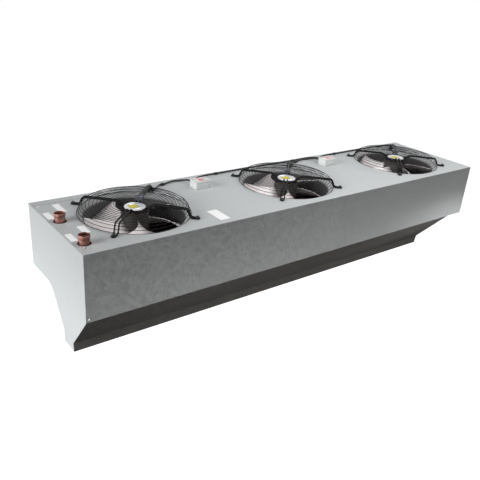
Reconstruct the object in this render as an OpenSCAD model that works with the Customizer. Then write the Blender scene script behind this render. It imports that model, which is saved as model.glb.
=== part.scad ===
// Water-heated air curtain: a suspended sheet-metal casing with three axial fans
// on its top, a finned heating coil inside and a tapered discharge nozzle below.
// Origin: centre of the top panel's upper face. +X runs along the casing away
// from the pipe connections, +Y to the back, +Z up.

/* [Casing] */
// Length of the casing
case_l = 2000; // [1900:10:2400]
// Depth of the casing, front to back
case_d = 470; // [460:5:600]
// Height of the casing without the nozzle
case_h = 238; // [225:1:300]
// Thickness of the casing sheets
sheet_t = 1.5; // [1:0.1:2]
// Width of the front panel's returns on the end faces
front_return = 24; // [15:1:30]
// Width of the back panel's flange on the top
back_flange = 35; // [20:1:35]
// Depth of the hidden down-turned flanges
hidden_flange = 18; // [12:1:22]

/* [Nozzle] */
// Total height from the top panel down to the nozzle lip
total_h = 418; // [390:1:480]
// Distance from the front face to the foot of the front incline
front_lip_y = 121; // [100:1:135]
// Height of the front lip under the incline
front_lip_h = 33; // [20:1:45]
// How far the front lip leans out at its lower edge
front_lip_lean = 3; // [0:1:8]
// Width of the air outlet between the lips
outlet_w = 81; // [50:1:90]
// Height of the rear lip under the rear slope
rear_lip_h = 48; // [30:1:60]
// Distance from the front face to the line where the rear slope meets the underside
rear_knee_y = 299; // [280:1:330]
// Bend radius where the rear slope runs into the underside
knee_r = 52; // [20:1:60]
// Inset of the nozzle at the right end, at the underside
nozzle_inset_top = 97; // [60:1:150]
// Inset of the nozzle at the right end, at the lip
nozzle_inset_lip = 161; // [120:1:220]

/* [Fans] */
// Distance between neighbouring fans
fan_pitch = 709; // [600:1:760]
// Offset of the middle fan from the casing's centre
fan_shift = 4; // [-10:1:10]
// Diameter of the openings in the top panel
opening_d = 400; // [380:1:420]
// Diameter of the throat of the inlet rings
throat_d = 356; // [330:1:370]
// Radial gap between blade tips and throat
tip_gap = 3; // [2:0.5:6]
// Diameter of the rotor bell
bell_d = 98; // [90:1:110]
// Number of blades of an impeller
blade_count = 5; // [3:1:7]
// Height of the upper edge of the blades
blade_top_z = -17; // [-20:1:-14]
// Axial depth of the blades at their tips
blade_tip_h = 58; // [40:1:60]
// Thickness of a blade
blade_t = 2; // [1.2:0.1:3]
// Diameter of the motor shaft
shaft_d = 8; // [6:1:8]
// Outer diameter of the motor bearings
bearing_d = 22; // [20:1:26]
// Diameter of the motor flange that shows on top
flange_d = 76; // [75:1:80]

/* [Guards] */
// Height of the guard's flat top, measured to the centre of the arm wires
guard_z = 34; // [32:1:36]
// Diameter of the arm wires
arm_wire_d = 5.5; // [4:0.1:6]
// Distance between the two wires of an arm
arm_gap = 13.5; // [11.8:0.1:15]
// Diameter of the ring wires
ring_wire_d = 2.2; // [1.8:0.1:2.8]
// Distance between neighbouring ring wires
ring_pitch = 12.2; // [11:0.1:14]
// Pitch circle diameter of the foot bolts
foot_pcd = 452; // [446:1:456]
// Diameter of the foot bolts
foot_bolt_d = 6; // [5:1:6]

/* [Heating coil] */
// Number of tube columns across the depth, an even number
tube_columns = 10; // [6:2:10]
// Distance between tube columns
tube_pitch = 40; // [34:1:40]
// Distance between the two tube rows
row_pitch = 22; // [18:1:26]
// Outer diameter of the coil tubes
tube_d = 9.5; // [8:0.5:12]
// Height of the fins
fin_h = 62; // [52:1:64]
// Number of fin plates, each standing for a bundle of thin fins
fin_count = 45; // [20:1:60]
// Thickness of a fin plate
fin_t = 3; // [1:0.5:4]
// Height of the coil's underside
coil_bottom_z = -212; // [-214:1:-208]
// Outer diameter of the pipe connections
pipe_d = 35; // [28:1:38]
// Wall of the pipe connections
pipe_wall = 1.4; // [1:0.1:2]
// Height of the pipe ends above the top panel
pipe_top_z = 30; // [20:1:60]
// Distance of the pipe connections from the left end face
pipe_x = 37.5; // [34:0.5:42]
// Distance of the front pipe from the front face
pipe_front_y = 76; // [65:1:100]
// Distance between the two pipes
pipe_spacing = 195; // [150:1:240]
// Diameter of the holes for the pipes
pipe_hole_d = 45; // [42:1:52]

/* [Electrical parts] */
// Width of a junction box
box_w = 72; // [68:1:85]
// Depth of a junction box
box_d = 50; // [48:1:60]
// Height of a junction box with its lid
box_h = 31; // [30:1:40]
// Wall of a junction box
box_wall = 2.5; // [2:0.1:4]
// Distance from the casing's centre to the left side of the first junction box
box_x = -392; // [-400:1:-370]
// Distance from the first junction box to the second
box_spacing = 709; // [700:1:720]
// Distance from the fan axis line to the front of a junction box
box_y = 84; // [75:1:90]
// Diameter of the cables
cable_d = 7; // [6:0.5:7]

/* [Suspension] */
// Distance between the suspension nuts along the casing
hang_x = 1960; // [1800:10:1960]
// Distance between the suspension nuts across the casing
hang_y = 380; // [340:5:380]
// Thread diameter of the suspension nuts
hang_d = 8; // [6:2:10]

/* [Hidden] */
$fn = 64;
fans = [1, 2, 3];
boxes = [1, 2];

// Colours
zinc = "#b9bfc2";
zinc_dark = "#8d9090";
black = "#1c1c1e";
copper = "#b5705a";
silver = "#d6d8da";
white = "#f2f3f1";
steel = "#9a9da0";
slate = "#6f7685";
brass = "#b59a55";

// Casing planes
t = sheet_t;
x0 = -case_l / 2;
x1 = case_l / 2;
y0 = -case_d / 2;
y1 = case_d / 2;
bottom_z = -case_h;
lip_z = -total_h;
edge_gap = 0.5;
lap_h = 22;
rivet_inset = 10;
rivet_r = 1.6;
hang_nut_h = 17.5;

// Nozzle outline, seen along the casing
incline_foot = [y0 + front_lip_y, lip_z + front_lip_h];
front_lip_end = [y0 + front_lip_y - front_lip_lean, lip_z];
rear_lip_end = [front_lip_end[0] + outlet_w, lip_z];
rear_lip_top = [rear_lip_end[0], lip_z + rear_lip_h];
knee = [y0 + rear_knee_y, bottom_z];
knee_dir = (knee - rear_lip_top) / norm(knee - rear_lip_top);
knee_angle = atan2(knee_dir[1], knee_dir[0]);
knee_tan = knee_r * tan(knee_angle / 2);
knee_steps = 8;
knee_centre = [knee[0] + knee_tan, bottom_z - knee_r];
knee_arc = [
    for (i = [0 : knee_steps])
        let (a = 90 + knee_angle * (1 - i / knee_steps))
        knee_centre + knee_r * [cos(a), sin(a)]
];
knee_end_y = knee_centre[0];
front_line = [[y0 + t, bottom_z - edge_gap], incline_foot, front_lip_end];
rear_line = concat([rear_lip_end, rear_lip_top], knee_arc);

// Sloped right end of the nozzle
end_top = [x1 - nozzle_inset_top, bottom_z];
end_lip = [x1 - nozzle_inset_lip, lip_z];
end_lean = atan2(end_top[0] - end_lip[0], end_top[1] - end_lip[1]);

// Fans
fan_xs = [for (n = fans) fan_shift + (n - 2) * fan_pitch];
// Turn of each impeller at rest
fan_turns = [66, 50, 4];
opening_r = opening_d / 2;
throat_r = throat_d / 2;
ring_depth = 80;
ring_rim = 12;
impeller_r = throat_r - tip_gap;
bell_r = bell_d / 2;
bell_wall = 3;
bell_top_z = 6;
bell_bottom_z = -86;
bell_round = 8;
bell_boss_r = 10;
bell_boss_z = -68;
root_sink = 0.4;
shaft_r = shaft_d / 2;
shaft_top_z = 10;
running_gap = 0.05;
bearing_r = bearing_d / 2;
bearing_h = 7;
bearing_zs = [-4, -60];
flange_r = flange_d / 2;
flange_z = 14;
flange_h = 6;
sleeve_wall = 2.5;
sleeve_r = bearing_r + sleeve_wall;
sleeve_end_z = -62;
stator_r = bell_r - bell_wall - 1;
core_z = [-50, -14];
winding_r = [sleeve_r + 4, stator_r - 4];
winding_rise = 8;
press_gap = 0.02;
blade_root_r = bell_r - root_sink;
blade_cover = 0.86;
blade_sweep = 26;
blade_camber = 7;
blade_s_steps = 8;
blade_c_steps = 8;

// Guards
plate_h = 3;
plate_r = flange_r + 8;
plate_bore_r = sleeve_r + 6;
plate_z = flange_z - plate_h;
arm_r = arm_wire_d / 2;
ring_r = ring_wire_d / 2;
foot_r = foot_pcd / 2;
seat_gap = 0.1;
foot_z = arm_r + seat_gap;
washer_r = 8;
washer_h = 1.6;
bolt_hex_r = 5.8;
bolt_head_h = 4;
bolt_nut_h = 5;
weld_gap = 0.1;
arm_bend_r = 67;
arm_profile = [
    [flange_r + 1.5, flange_z + arm_r + weld_gap],
    [arm_bend_r, guard_z],
    [opening_r - 11, guard_z - 1],
    [opening_r + 2, foot_z],
    [foot_r, foot_z]
];
// Line of the guard's ring wires: under the arms, down to just above the panel
under_arms = offset_line(arm_profile, -(arm_r + ring_r + weld_gap));
ring_low_z = ring_r + 0.4;
ring_drop = under_arms[3] - under_arms[2];
ring_foot = under_arms[2] + ring_drop * (ring_low_z - under_arms[2][1]) / ring_drop[1];
ring_line = [under_arms[0], under_arms[1], under_arms[2], ring_foot];
ring_first = 12;
ring_run = line_length(ring_line) - ring_first;
ring_gaps = round(ring_run / ring_pitch);
ring_spots = [for (i = [0 : ring_gaps]) point_at(ring_line, ring_first + i * ring_run / ring_gaps)];
flange_screw_r = 2;
screw_head_r = 3.9;
screw_pcr = flange_r - 10;
screw_angles = [22, 112, 202, 292];
foot_angles = [45, 135, 225, 315];

// Terminal blocks
terminal_w = 26;
terminal_room = 0.7;
terminal_foot_r = plate_r + 0.5;
terminal_reach = ring_spots[2][0] - ring_r - terminal_room;
terminal_r1 = sqrt(terminal_reach ^ 2 - (terminal_w / 2) ^ 2);
terminal_low_z = ring_spots[1][1] + ring_r + terminal_room;
terminal_top_z = guard_z + 7;
wire_room = 0.4;

// Coil
coil_x0 = x0 + 95;
coil_x1 = x1 - 95;
coil_top_z = coil_bottom_z + fin_h;
coil_mid_z = (coil_bottom_z + coil_top_z) / 2;
fin_d = case_d - 60;
tube_r = tube_d / 2;
fin_margin = 20;
tube_fit = 0.05;
tube_wall = 0.6;
fin_pitch = (coil_x1 - coil_x0 - 2 * fin_margin - fin_t) / (fin_count - 1);
rail_ledge = (case_d - fin_d) / 2 + 10;
rail_leg = 22;
pipe_r = pipe_d / 2;
header_r = pipe_r + 2.5;
cup_r = pipe_r + 1.3;
cup_bore_r = pipe_r + 0.1;
cup_z = 17;
cup_depth = 12;
plug_r = 5;
bend_room = 6;
end_lip_w = 10;
pipe_cx = x0 + pipe_x;
tube_end_x = pipe_cx + header_r - 5.5;
pipe_front = y0 + pipe_front_y;
pipe_back = pipe_front + pipe_spacing;
column_ys = [for (i = [0 : tube_columns - 1]) (i - (tube_columns - 1) / 2) * tube_pitch];
header_end_y = column_ys[tube_columns - 1] + 16;
row_zs = [coil_mid_z + row_pitch / 2, coil_mid_z - row_pitch / 2];

// Junction boxes
lid_h = 8;
box_xs = [for (n = boxes) box_x + (n - 1) * box_spacing];
gland_z = 13;
gland_l = 18;
gland_r = 8;
gland_thread_r = 6;
gland_pitch = 16;
cable_bore_r = cable_d / 2 + 0.3;
box_round = 5;
lid_screw_r = 1.5;
lid_screw_head_r = 3.3;
// Glands in the back of each box, by their place in a row of three
gland_places = [[-1, 1], [-1, 0, 1]];
screw_inset = 8;
clip_w = 12;

// Cable routes with points chosen by hand: up a guard's arm, then to a junction box.
// Along the arm, as distance from the fan's axis and height
arm_lead = [
    [terminal_r1 + wire_room, guard_z + 1.2], [terminal_r1 + 7, guard_z + 1.5], [85, guard_z + 1.8],
    [95, guard_z + 1.8], [140, guard_z + 1.3], [183, guard_z + 0.8], [192, guard_z - 1.5],
    [197, 24], [201, 16.5], [206, 12]
];
arm_points = [for (p = arm_lead) [p[0] * cos(foot_angles[0]), p[0] * sin(foot_angles[0]), p[1]]];
// From the arm into the back of the box on the right, from the fan's axis
box_lead = [
    [157, 146, 10.5], [172, 154, 8.6], [190, 172, 6], [204, 187, 4.2], [214, 192, 4], [232, 192, 4],
    [248, 196, 5.4], [272, 203, 5.6], [298, 201, 5.8], [318, 190, 8], [330, 175, 11.5], [333, 162, 13],
    [333, 126, 13]
];
// From the arm of the last fan around its guard to the box on the left
far_lead = [
    [157, 146, 10.5], [172, 151, 9], [190, 158, 7.4], [206, 168, 6.4], [212, 183, 6], [203, 197, 5.8],
    [184, 205, 5.7], [150, 208, 5.6], [70, 211, 5.6], [-10, 212, 5.6], [-90, 210, 5.6],
    [-170, 208.5, 5.6], [-205, 208, 5.6], [-223, 208, 5.6], [-262, 207, 5.6], [-292, 203, 5.8],
    [-317, 194, 7.2], [-334, 179, 10.5], [-344, 163, 13], [-344, 126, 13]
];
// From the first box to the second, from the middle fan's axis
link_lead = [
    [-344, 126, 13], [-344, 163, 13], [-334, 179, 10.5], [-317, 194, 7.2], [-292, 203, 5.8],
    [-262, 207, 5.6], [-226, 208, 5.6], [-208, 208, 5.6], [-140, 209, 5.6], [-60, 211, 5.6],
    [30, 212, 5.6], [120, 210, 5.6], [211, 208, 5.6], [229, 208, 5.6], [255, 211.5, 5.6],
    [285, 213.5, 5.8], [312, 211, 6.6], [334, 200, 8.8], [346, 183, 11.8], [349, 166, 13], [349, 126, 13]
];
// Clips on the cables: on the panel beside two guards, and on the back flange
panel_clips = [for (x = [fan_xs[0], fan_xs[1]]) [x + 223, 192, 4]];
flange_clips = [
    [fan_xs[1] - 217, 208, 5.6], [fan_xs[1] + 220, 208, 5.6], [fan_xs[2] - 214, 208, 5.6]
];

// Blank labels, as left, front, right and back edge from the casing's front left corner
panel_labels = [
    [8, 104, 29, 163], [66, 145, 91, 205], [10, 298, 32, 360], [66, 340, 90, 420], [522, 28, 563, 118]
];
// Blank label on a motor flange, from the fan's axis
hub_label = [-20, -14, 9, 17];
label_h = 0.2;

// --- Helpers ---------------------------------------------------------------

// Offsets a polyline sideways by d, with mitred corners
function offset_line(p, d) = [
    for (i = [0 : len(p) - 1])
        let (
            a = i == 0 ? p[1] - p[0] : p[i] - p[i - 1],
            b = i == len(p) - 1 ? a : p[i + 1] - p[i],
            na = [-a[1], a[0]] / norm(a),
            nb = [-b[1], b[0]] / norm(b)
        )
        p[i] + d * (na + nb) / (1 + na * nb)
];
function reversed(p) = [for (i = [len(p) - 1 : -1 : 0]) p[i]];

// Sheet of thickness d along a line, as a closed outline
function sheet_outline(p, d) = concat(p, reversed(offset_line(p, d)));

// Extrudes an outline drawn in Y and Z along X
module along_x(from, to) {
    translate([from, 0, 0]) rotate([90, 0, 90]) linear_extrude(to - from) children();
}

// Box between two corners
module block(a, b) {
    translate(a) cube(b - a);
}

// Half space to the right of the nozzle's sloped end
module beyond_nozzle_end() {
    translate([end_top[0], 0, end_top[1]]) rotate([0, end_lean, 0])
        block([0, -case_d, -2 * case_h], [400, case_d, case_h]);
}

// Length of a polyline, and the point at distance s along it
function line_length(p) =
    len(p) < 2 ? 0 : norm(p[1] - p[0]) + line_length([for (i = [1 : len(p) - 1]) p[i]]);
function point_at(p, s, i = 0) =
    let (step = norm(p[i + 1] - p[i]))
    s <= step || i == len(p) - 2
        ? p[i] + (p[i + 1] - p[i]) * s / step
        : point_at(p, s - step, i + 1);

// Rounds the corners of a path with r, by n points each
function round_path(p, r, n = 3) = concat(
    [p[0]],
    [
        for (i = [1 : len(p) - 2])
            let (
                u = p[i - 1] - p[i],
                v = p[i + 1] - p[i],
                k = min(r, norm(u) * 0.45, norm(v) * 0.45),
                a = p[i] + u / norm(u) * k,
                b = p[i] + v / norm(v) * k
            )
            for (j = [0 : n]) let (s = j / n) (1 - s) ^ 2 * a + 2 * s * (1 - s) * p[i] + s ^ 2 * b
    ],
    [p[len(p) - 1]]
);

// Tube of radius r swept along a path, as one closed mesh
module swept(p, r, sides = 8) {
    last = len(p) - 1;
    points = [
        for (i = [0 : last])
            let (
                d = p[min(i + 1, last)] - p[max(i - 1, 0)],
                w = d / norm(d),
                side = cross(w, [0, 0, 1]),
                u = side / norm(side),
                v = cross(u, w)
            )
            for (k = [0 : sides - 1])
                let (a = 360 * (k + 0.5) / sides) p[i] + r * (cos(a) * u - sin(a) * v)
    ];
    walls = [
        for (i = [0 : last - 1]) for (k = [0 : sides - 1])
            let (a = i * sides + k, b = i * sides + (k + 1) % sides)
            for (face = [[a, a + sides, b + sides], [a, b + sides, b]]) face
    ];
    start = [for (k = [1 : sides - 2]) [0, k, k + 1]];
    end = [for (k = [1 : sides - 2]) [last * sides, last * sides + k + 1, last * sides + k]];
    polyhedron(points, concat(walls, start, end));
}

// --- Casing ----------------------------------------------------------------

module top_panel() color(zinc) difference() {
    union() {
        block([x0, y0, -t], [x1, y1 - t, 0]);
        difference() {
            block([x0 + 2 * t, y0 + t, -t - hidden_flange], [x1 - 2 * t, y1 - t, -t]);
            block([x0 + 3 * t, y0 + 2 * t, -2 * t - hidden_flange], [x1 - 3 * t, y1 - 2 * t, 0]);
        }
    }
    for (x = fan_xs) translate([x, 0, -2 * t]) cylinder(r = opening_r, h = 3 * t);
    for (x = fan_xs, a = foot_angles)
        translate([x, 0, 0]) rotate(a) translate([foot_r, 0, -2 * t])
            cylinder(d = foot_bolt_d + 0.6, h = 3 * t);
    for (y = [pipe_front, pipe_back])
        translate([pipe_cx, y, -2 * t]) cylinder(d = pipe_hole_d, h = 3 * t);
    for (x = [-1, 1], y = [-1, 1])
        translate([x * hang_x / 2, y * hang_y / 2, -2 * t]) cylinder(d = hang_d + 3.1, h = 3 * t);
}

module front_panel() color(zinc_dark) difference() {
    union() {
        block([x0, y0, bottom_z], [x1, y0 + t, -t]);
        block([x0, y0, bottom_z], [x0 + t, y0 + front_return, -t]);
        block([x1 - t, y0, bottom_z], [x1, y0 + front_return, -t]);
    }
    rivet_holes();
}

module back_panel() color(zinc) union() {
    block([x0 + t, y1 - t, bottom_z], [x1 - t, y1, t]);
    for (x = [x0 + 2 * t, x1 - 3 * t])
        block([x, y1 - t - hidden_flange, bottom_z + t], [x + t, y1 - t / 2, -2 * t - hidden_flange]);
    block([x0, y1 - back_flange, 0], [x1, y1, t]);
}

module left_end_panel() color(zinc) along_x(x0 + t, x0 + 2 * t) polygon(concat(
    [[y0 + t, -t], front_line[0], front_line[1], front_line[2]],
    rear_line,
    [[y1 - t, bottom_z], [y1 - t, -t]]
));

module right_end_panel() color(zinc)
    block([x1 - 2 * t, y0 + t, bottom_z], [x1 - t, y1 - t, -t]);

module underside_panel() color(zinc) union() {
    block([x0 + 2 * t, knee_end_y, bottom_z], [x1 - 2 * t, y1 - t, bottom_z + t]);
    block([end_top[0] + 1, y0 + 2 * t, bottom_z], [x1 - 2 * t, knee_end_y, bottom_z + t]);
    block([x0 + 3 * t, y1 - 2 * t, bottom_z], [x1 - 3 * t, y1 - t, bottom_z + hidden_flange]);
}

module nozzle_front_plate() color(zinc_dark) difference() {
    along_x(x0 + 2 * t, x1 - 2 * t)
        polygon(sheet_outline(concat([[y0 + t, bottom_z + lap_h]], front_line), t));
    beyond_nozzle_end();
    rivet_holes();
}

module nozzle_rear_plate() color(zinc) difference() {
    along_x(x0 + 2 * t, x1 - 2 * t) polygon(sheet_outline(rear_line, t));
    beyond_nozzle_end();
}

module nozzle_end_plate() color(zinc_dark) intersection() {
    along_x(end_lip[0] - 20, end_top[0] + 20)
        polygon(concat(reversed(offset_line(front_line, t)), reversed(offset_line(rear_line, t))));
    translate([end_top[0], 0, end_top[1]]) rotate([0, end_lean, 0])
        block([-t, -case_d, -2 * case_h], [0, case_d, case_h]);
}

module partition(x) color(zinc) union() {
    block([x - t / 2, y0 + 2 * t, coil_top_z + 4], [x + t / 2, y1 - 2 * t, -t]);
    for (side = [0, 1]) mirror([0, side, 0])
        block([x - t / 2, y0 + 2 * t, coil_top_z + 4], [x + 15, y0 + 3 * t, -2 * t - hidden_flange]);
}

module suspension_nuts() color(steel) for (x = [-1, 1], y = [-1, 1])
    translate([x * hang_x / 2, y * hang_y / 2, 0]) difference() {
        union() {
            cylinder(d = hang_d + 8, h = 1);
            translate([0, 0, -hang_nut_h]) cylinder(d = hang_d + 3, h = hang_nut_h + 0.5);
        }
        translate([0, 0, -hang_nut_h - 1]) cylinder(d = hang_d, h = hang_nut_h + 3);
    }

// Places children at the rivets of the front panel, pointing out of it
module at_rivets() for (x = [x0 + rivet_inset, x1 - rivet_inset])
    translate([x, y0, bottom_z + lap_h / 2]) rotate([90, 0, 0]) children();

module rivet_holes() at_rivets() translate([0, 0, -3 * t]) cylinder(r = rivet_r + tube_fit, h = 4 * t);

module casing_rivets() color(silver) at_rivets() {
    cylinder(r = 2 * rivet_r, h = 0.8);
    cylinder(r = 1.4 * rivet_r, h = 1.4);
    translate([0, 0, -2 * t - 0.5]) cylinder(r = rivet_r, h = 2 * t + 1);
    translate([0, 0, -2 * t - 1]) cylinder(r = 1.3 * rivet_r, h = 1);
}

// --- Fans ------------------------------------------------------------------

// Spun ring under the opening, with a rounded mouth and a straight throat
module inlet_ring(n) color(zinc) translate([fan_xs[n - 1], 0, 0]) rotate_extrude() {
    mouth_r = opening_r - throat_r;
    translate([opening_r, -2 * t]) square([ring_rim, t]);
    translate([throat_r, -ring_depth]) square([t, ring_depth - t - mouth_r]);
    intersection() {
        translate([opening_r, -t - mouth_r]) difference() {
            circle(mouth_r);
            circle(mouth_r - t);
        }
        translate([throat_r, -t - mouth_r]) square(mouth_r);
    }
}

// One arm: a wire bent like a hairpin, its bend round the foot bolt
module guard_arm() {
    leg = round_path(arm_profile, 9);
    bend_steps = 6;
    swept(
        concat(
            [for (p = leg) [p[0], -arm_gap / 2, p[1]]],
            [
                for (i = [1 : bend_steps - 1])
                    let (a = -90 + 180 * i / bend_steps)
                    [foot_r + arm_gap / 2 * cos(a), arm_gap / 2 * sin(a), foot_z]
            ],
            [for (p = reversed(leg)) [p[0], arm_gap / 2, p[1]]]
        ),
        arm_r
    );
}

module guard(n) color(black) translate([fan_xs[n - 1], 0, 0]) {
    difference() {
        translate([0, 0, plate_z]) cylinder(r = plate_r, h = plate_h);
        translate([0, 0, plate_z - 1]) cylinder(r = plate_bore_r, h = plate_h + 2);
        for (a = screw_angles)
            rotate(a) translate([screw_pcr, 0, plate_z - 1])
                cylinder(r = flange_screw_r + tube_fit, h = plate_h + 2);
    }
    for (p = ring_spots) rotate_extrude() translate(p) circle(ring_r);
    for (a = foot_angles) rotate(a) guard_arm();
}

module guard_bolts() color(steel) for (x = fan_xs, a = foot_angles)
    translate([x, 0, 0]) rotate(a) translate([foot_r, 0, 0]) {
        top = foot_z + arm_r;
        translate([0, 0, top]) cylinder(r = washer_r, h = washer_h);
        translate([0, 0, top + washer_h]) cylinder(r = bolt_hex_r, h = bolt_head_h, $fn = 6);
        translate([0, 0, -t - bolt_nut_h - 3]) cylinder(d = foot_bolt_d, h = top + t + bolt_nut_h + 3.5);
        difference() {
            translate([0, 0, -t - bolt_nut_h]) cylinder(r = bolt_hex_r, h = bolt_nut_h, $fn = 6);
            translate([0, 0, -t - bolt_nut_h - 1])
                cylinder(d = foot_bolt_d + 2 * tube_fit, h = bolt_nut_h + 2);
        }
    }

// Disc that shows on top, with the sleeve that carries the bearings
module motor_flange(n) color(silver) translate([fan_xs[n - 1], 0, 0]) difference() {
    union() {
        translate([0, 0, flange_z]) cylinder(r = flange_r, h = flange_h - 1);
        translate([0, 0, flange_z + flange_h - 1]) cylinder(r1 = flange_r, r2 = flange_r - 1, h = 1);
        translate([0, 0, sleeve_end_z]) cylinder(r = sleeve_r, h = flange_z - sleeve_end_z + 1);
    }
    translate([0, 0, sleeve_end_z - 1]) cylinder(r = bearing_r, h = shaft_top_z + 2 - sleeve_end_z);
    for (a = screw_angles) rotate(a) translate([screw_pcr, 0, flange_z - 1]) {
        cylinder(r = flange_screw_r + tube_fit, h = flange_h + 2);
        translate([0, 0, flange_h - 1.5]) cylinder(r = screw_head_r + 0.3, h = 4);
    }
}

module motor_screws() color(steel) for (x = fan_xs, a = screw_angles)
    translate([x, 0, flange_z]) rotate(a) translate([screw_pcr, 0, 0]) difference() {
        union() {
            translate([0, 0, flange_h - 2.5]) cylinder(r = screw_head_r, h = 2.7);
            translate([0, 0, -plate_h]) cylinder(r = flange_screw_r, h = plate_h + flange_h - 2);
        }
        translate([0, 0, flange_h - 1.3]) cylinder(r = 1.8, h = 2, $fn = 6);
    }

// Laminated core with the end turns of its windings
module motor_stator(n) color(copper) translate([fan_xs[n - 1], 0, 0]) rotate_extrude() {
    bore = sleeve_r + running_gap;
    translate([bore, core_z[0]]) square([stator_r - bore, core_z[1] - core_z[0]]);
    for (z = [core_z[0] - winding_rise, core_z[1] - 1])
        translate([winding_r[0], z]) square([winding_r[1] - winding_r[0], winding_rise + 1]);
}

module bearings(n) color(steel) for (z = bearing_zs)
    translate([fan_xs[n - 1], 0, z]) rotate_extrude() difference() {
        translate([shaft_r + running_gap, 0])
            square([bearing_r - shaft_r - running_gap - press_gap, bearing_h]);
        for (y = [0, bearing_h])
            translate([(shaft_r + bearing_r) / 2 - 1.8, y - 0.5]) square([3.6, 1]);
    }

module motor_shaft(n) color(steel) translate([fan_xs[n - 1], 0, 0]) {
    translate([0, 0, bell_bottom_z]) cylinder(r = shaft_r, h = shaft_top_z - bell_bottom_z - 1);
    translate([0, 0, shaft_top_z - 1]) cylinder(r1 = shaft_r, r2 = shaft_r - 1, h = 1);
}

// Half section of a cup with a rounded edge: radius, floor height and edge radius
module cup_section(r, floor_z, edge_r) {
    translate([0, floor_z]) square([r - edge_r, bell_top_z - floor_z + 1]);
    translate([0, floor_z + edge_r]) square([r, bell_top_z - floor_z - edge_r + 1]);
    translate([r - edge_r, floor_z + edge_r]) circle(edge_r);
}

module rotor_bell(n) color(black) translate([fan_xs[n - 1], 0, 0]) rotate_extrude() difference() {
    union() {
        difference() {
            cup_section(bell_r, bell_bottom_z, bell_round);
            cup_section(bell_r - bell_wall, bell_bottom_z + bell_wall, bell_round - bell_wall);
        }
        translate([0, bell_bottom_z]) square([bell_boss_r, bell_boss_z - bell_bottom_z]);
    }
    translate([-1, bell_bottom_z - 1]) square([shaft_r + 1, bell_top_z - bell_bottom_z + 3]);
    translate([0, bell_top_z]) square([bell_r + 1, 3]);
}

// Blade surface: s runs from root to tip, c from the trailing to the leading edge,
// which is the higher one and leads when the impeller turns clockwise from above
function blade_point(s, c, side) =
    let (
        r = blade_root_r + s * (impeller_r - blade_root_r),
        width = 360 / blade_count * blade_cover * (1 - 0.14 * s ^ 6 - 0.1 * (1 - s) ^ 2),
        a = blade_sweep * s ^ 1.7 + width * (c - 0.5),
        fall = blade_tip_h * (0.86 + 0.14 * s),
        dip = blade_camber * sin(180 * c)
    )
    [r * cos(a), -r * sin(a), blade_top_z - blade_t - fall * (1 - c) - dip + side * blade_t];

module blade() {
    n = blade_s_steps;
    m = blade_c_steps;
    sheet = (n + 1) * (m + 1);
    points = [
        for (side = [0, 1]) for (i = [0 : n]) for (j = [0 : m]) blade_point(i / n, j / m, side)
    ];
    function spot(side, i, j) = side * sheet + i * (m + 1) + j;
    function quad(a, b, c, d) = [[a, b, c], [a, c, d]];
    faces = [
        for (i = [0 : n - 1]) for (j = [0 : m - 1]) each concat(
            quad(spot(0, i, j), spot(0, i + 1, j), spot(0, i + 1, j + 1), spot(0, i, j + 1)),
            quad(spot(1, i, j), spot(1, i, j + 1), spot(1, i + 1, j + 1), spot(1, i + 1, j))
        ),
        for (i = [0 : n - 1]) each concat(
            quad(spot(0, i, 0), spot(1, i, 0), spot(1, i + 1, 0), spot(0, i + 1, 0)),
            quad(spot(0, i, m), spot(0, i + 1, m), spot(1, i + 1, m), spot(1, i, m))
        ),
        for (j = [0 : m - 1]) each concat(
            quad(spot(0, 0, j), spot(0, 0, j + 1), spot(1, 0, j + 1), spot(1, 0, j)),
            quad(spot(0, n, j), spot(1, n, j), spot(1, n, j + 1), spot(0, n, j + 1))
        )
    ];
    polyhedron(points, [for (face = faces) reversed(face)]);
}

module blades(n) color(black) translate([fan_xs[n - 1], 0, 0])
    for (i = [0 : blade_count - 1]) rotate(fan_turns[n - 1] + 360 * i / blade_count) blade();

// Housing of the cable connection: its foot stands on the guard's plate, and the rest sits over an
// arm, above the inner rings
module terminal_blocks() color(slate) for (x = fan_xs) translate([x, 0, 0]) rotate(foot_angles[0])
    difference() {
        for (end = [[terminal_foot_r, flange_z], [terminal_r1, terminal_low_z]])
            block([flange_r + 2, -terminal_w / 2, end[1]], [end[0], terminal_w / 2, terminal_top_z]);
        for (side = [-1, 1]) translate([0, side * arm_gap / 2, 0])
            block(
                [flange_r, -arm_r - wire_room, flange_z - 1],
                [terminal_r1 + 1, arm_r + wire_room, terminal_top_z - 2]
            );
    }

// --- Heating coil ----------------------------------------------------------

// Outline of a plate with holes for all tubes
module tube_plate(half_d, low_z, high_z) difference() {
    translate([-half_d, low_z]) square([2 * half_d, high_z - low_z]);
    for (y = column_ys, z = row_zs) translate([y, z]) circle(tube_r + tube_fit);
}

module coil_fins() color(copper) for (i = [0 : fin_count - 1])
    along_x(coil_x0 + fin_margin + i * fin_pitch, coil_x0 + fin_margin + i * fin_pitch + fin_t)
        tube_plate(fin_d / 2, coil_bottom_z, coil_top_z);

module tube_section() difference() {
    circle(tube_r);
    circle(tube_r - tube_wall);
}

module return_bend(x, y, z, turn) translate([x, y + tube_pitch / 2, z])
    rotate(turn) rotate_extrude(angle = 180) translate([tube_pitch / 2, 0]) tube_section();

// Two circuits, one a row: straight tubes joined by return bends at both ends
module coil_tubes() color(copper) for (z = row_zs) {
    last = tube_columns - 1;
    for (i = [0 : last])
        along_x(i == 0 || i == last ? tube_end_x : coil_x0 - bend_room, coil_x1 + bend_room)
            translate([column_ys[i], z]) tube_section();
    for (i = [0 : 2 : last]) return_bend(coil_x1 + bend_room, column_ys[i], z, -90);
    for (i = [1 : 2 : last - 1]) return_bend(coil_x0 - bend_room, column_ys[i], z, 90);
}

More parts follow.
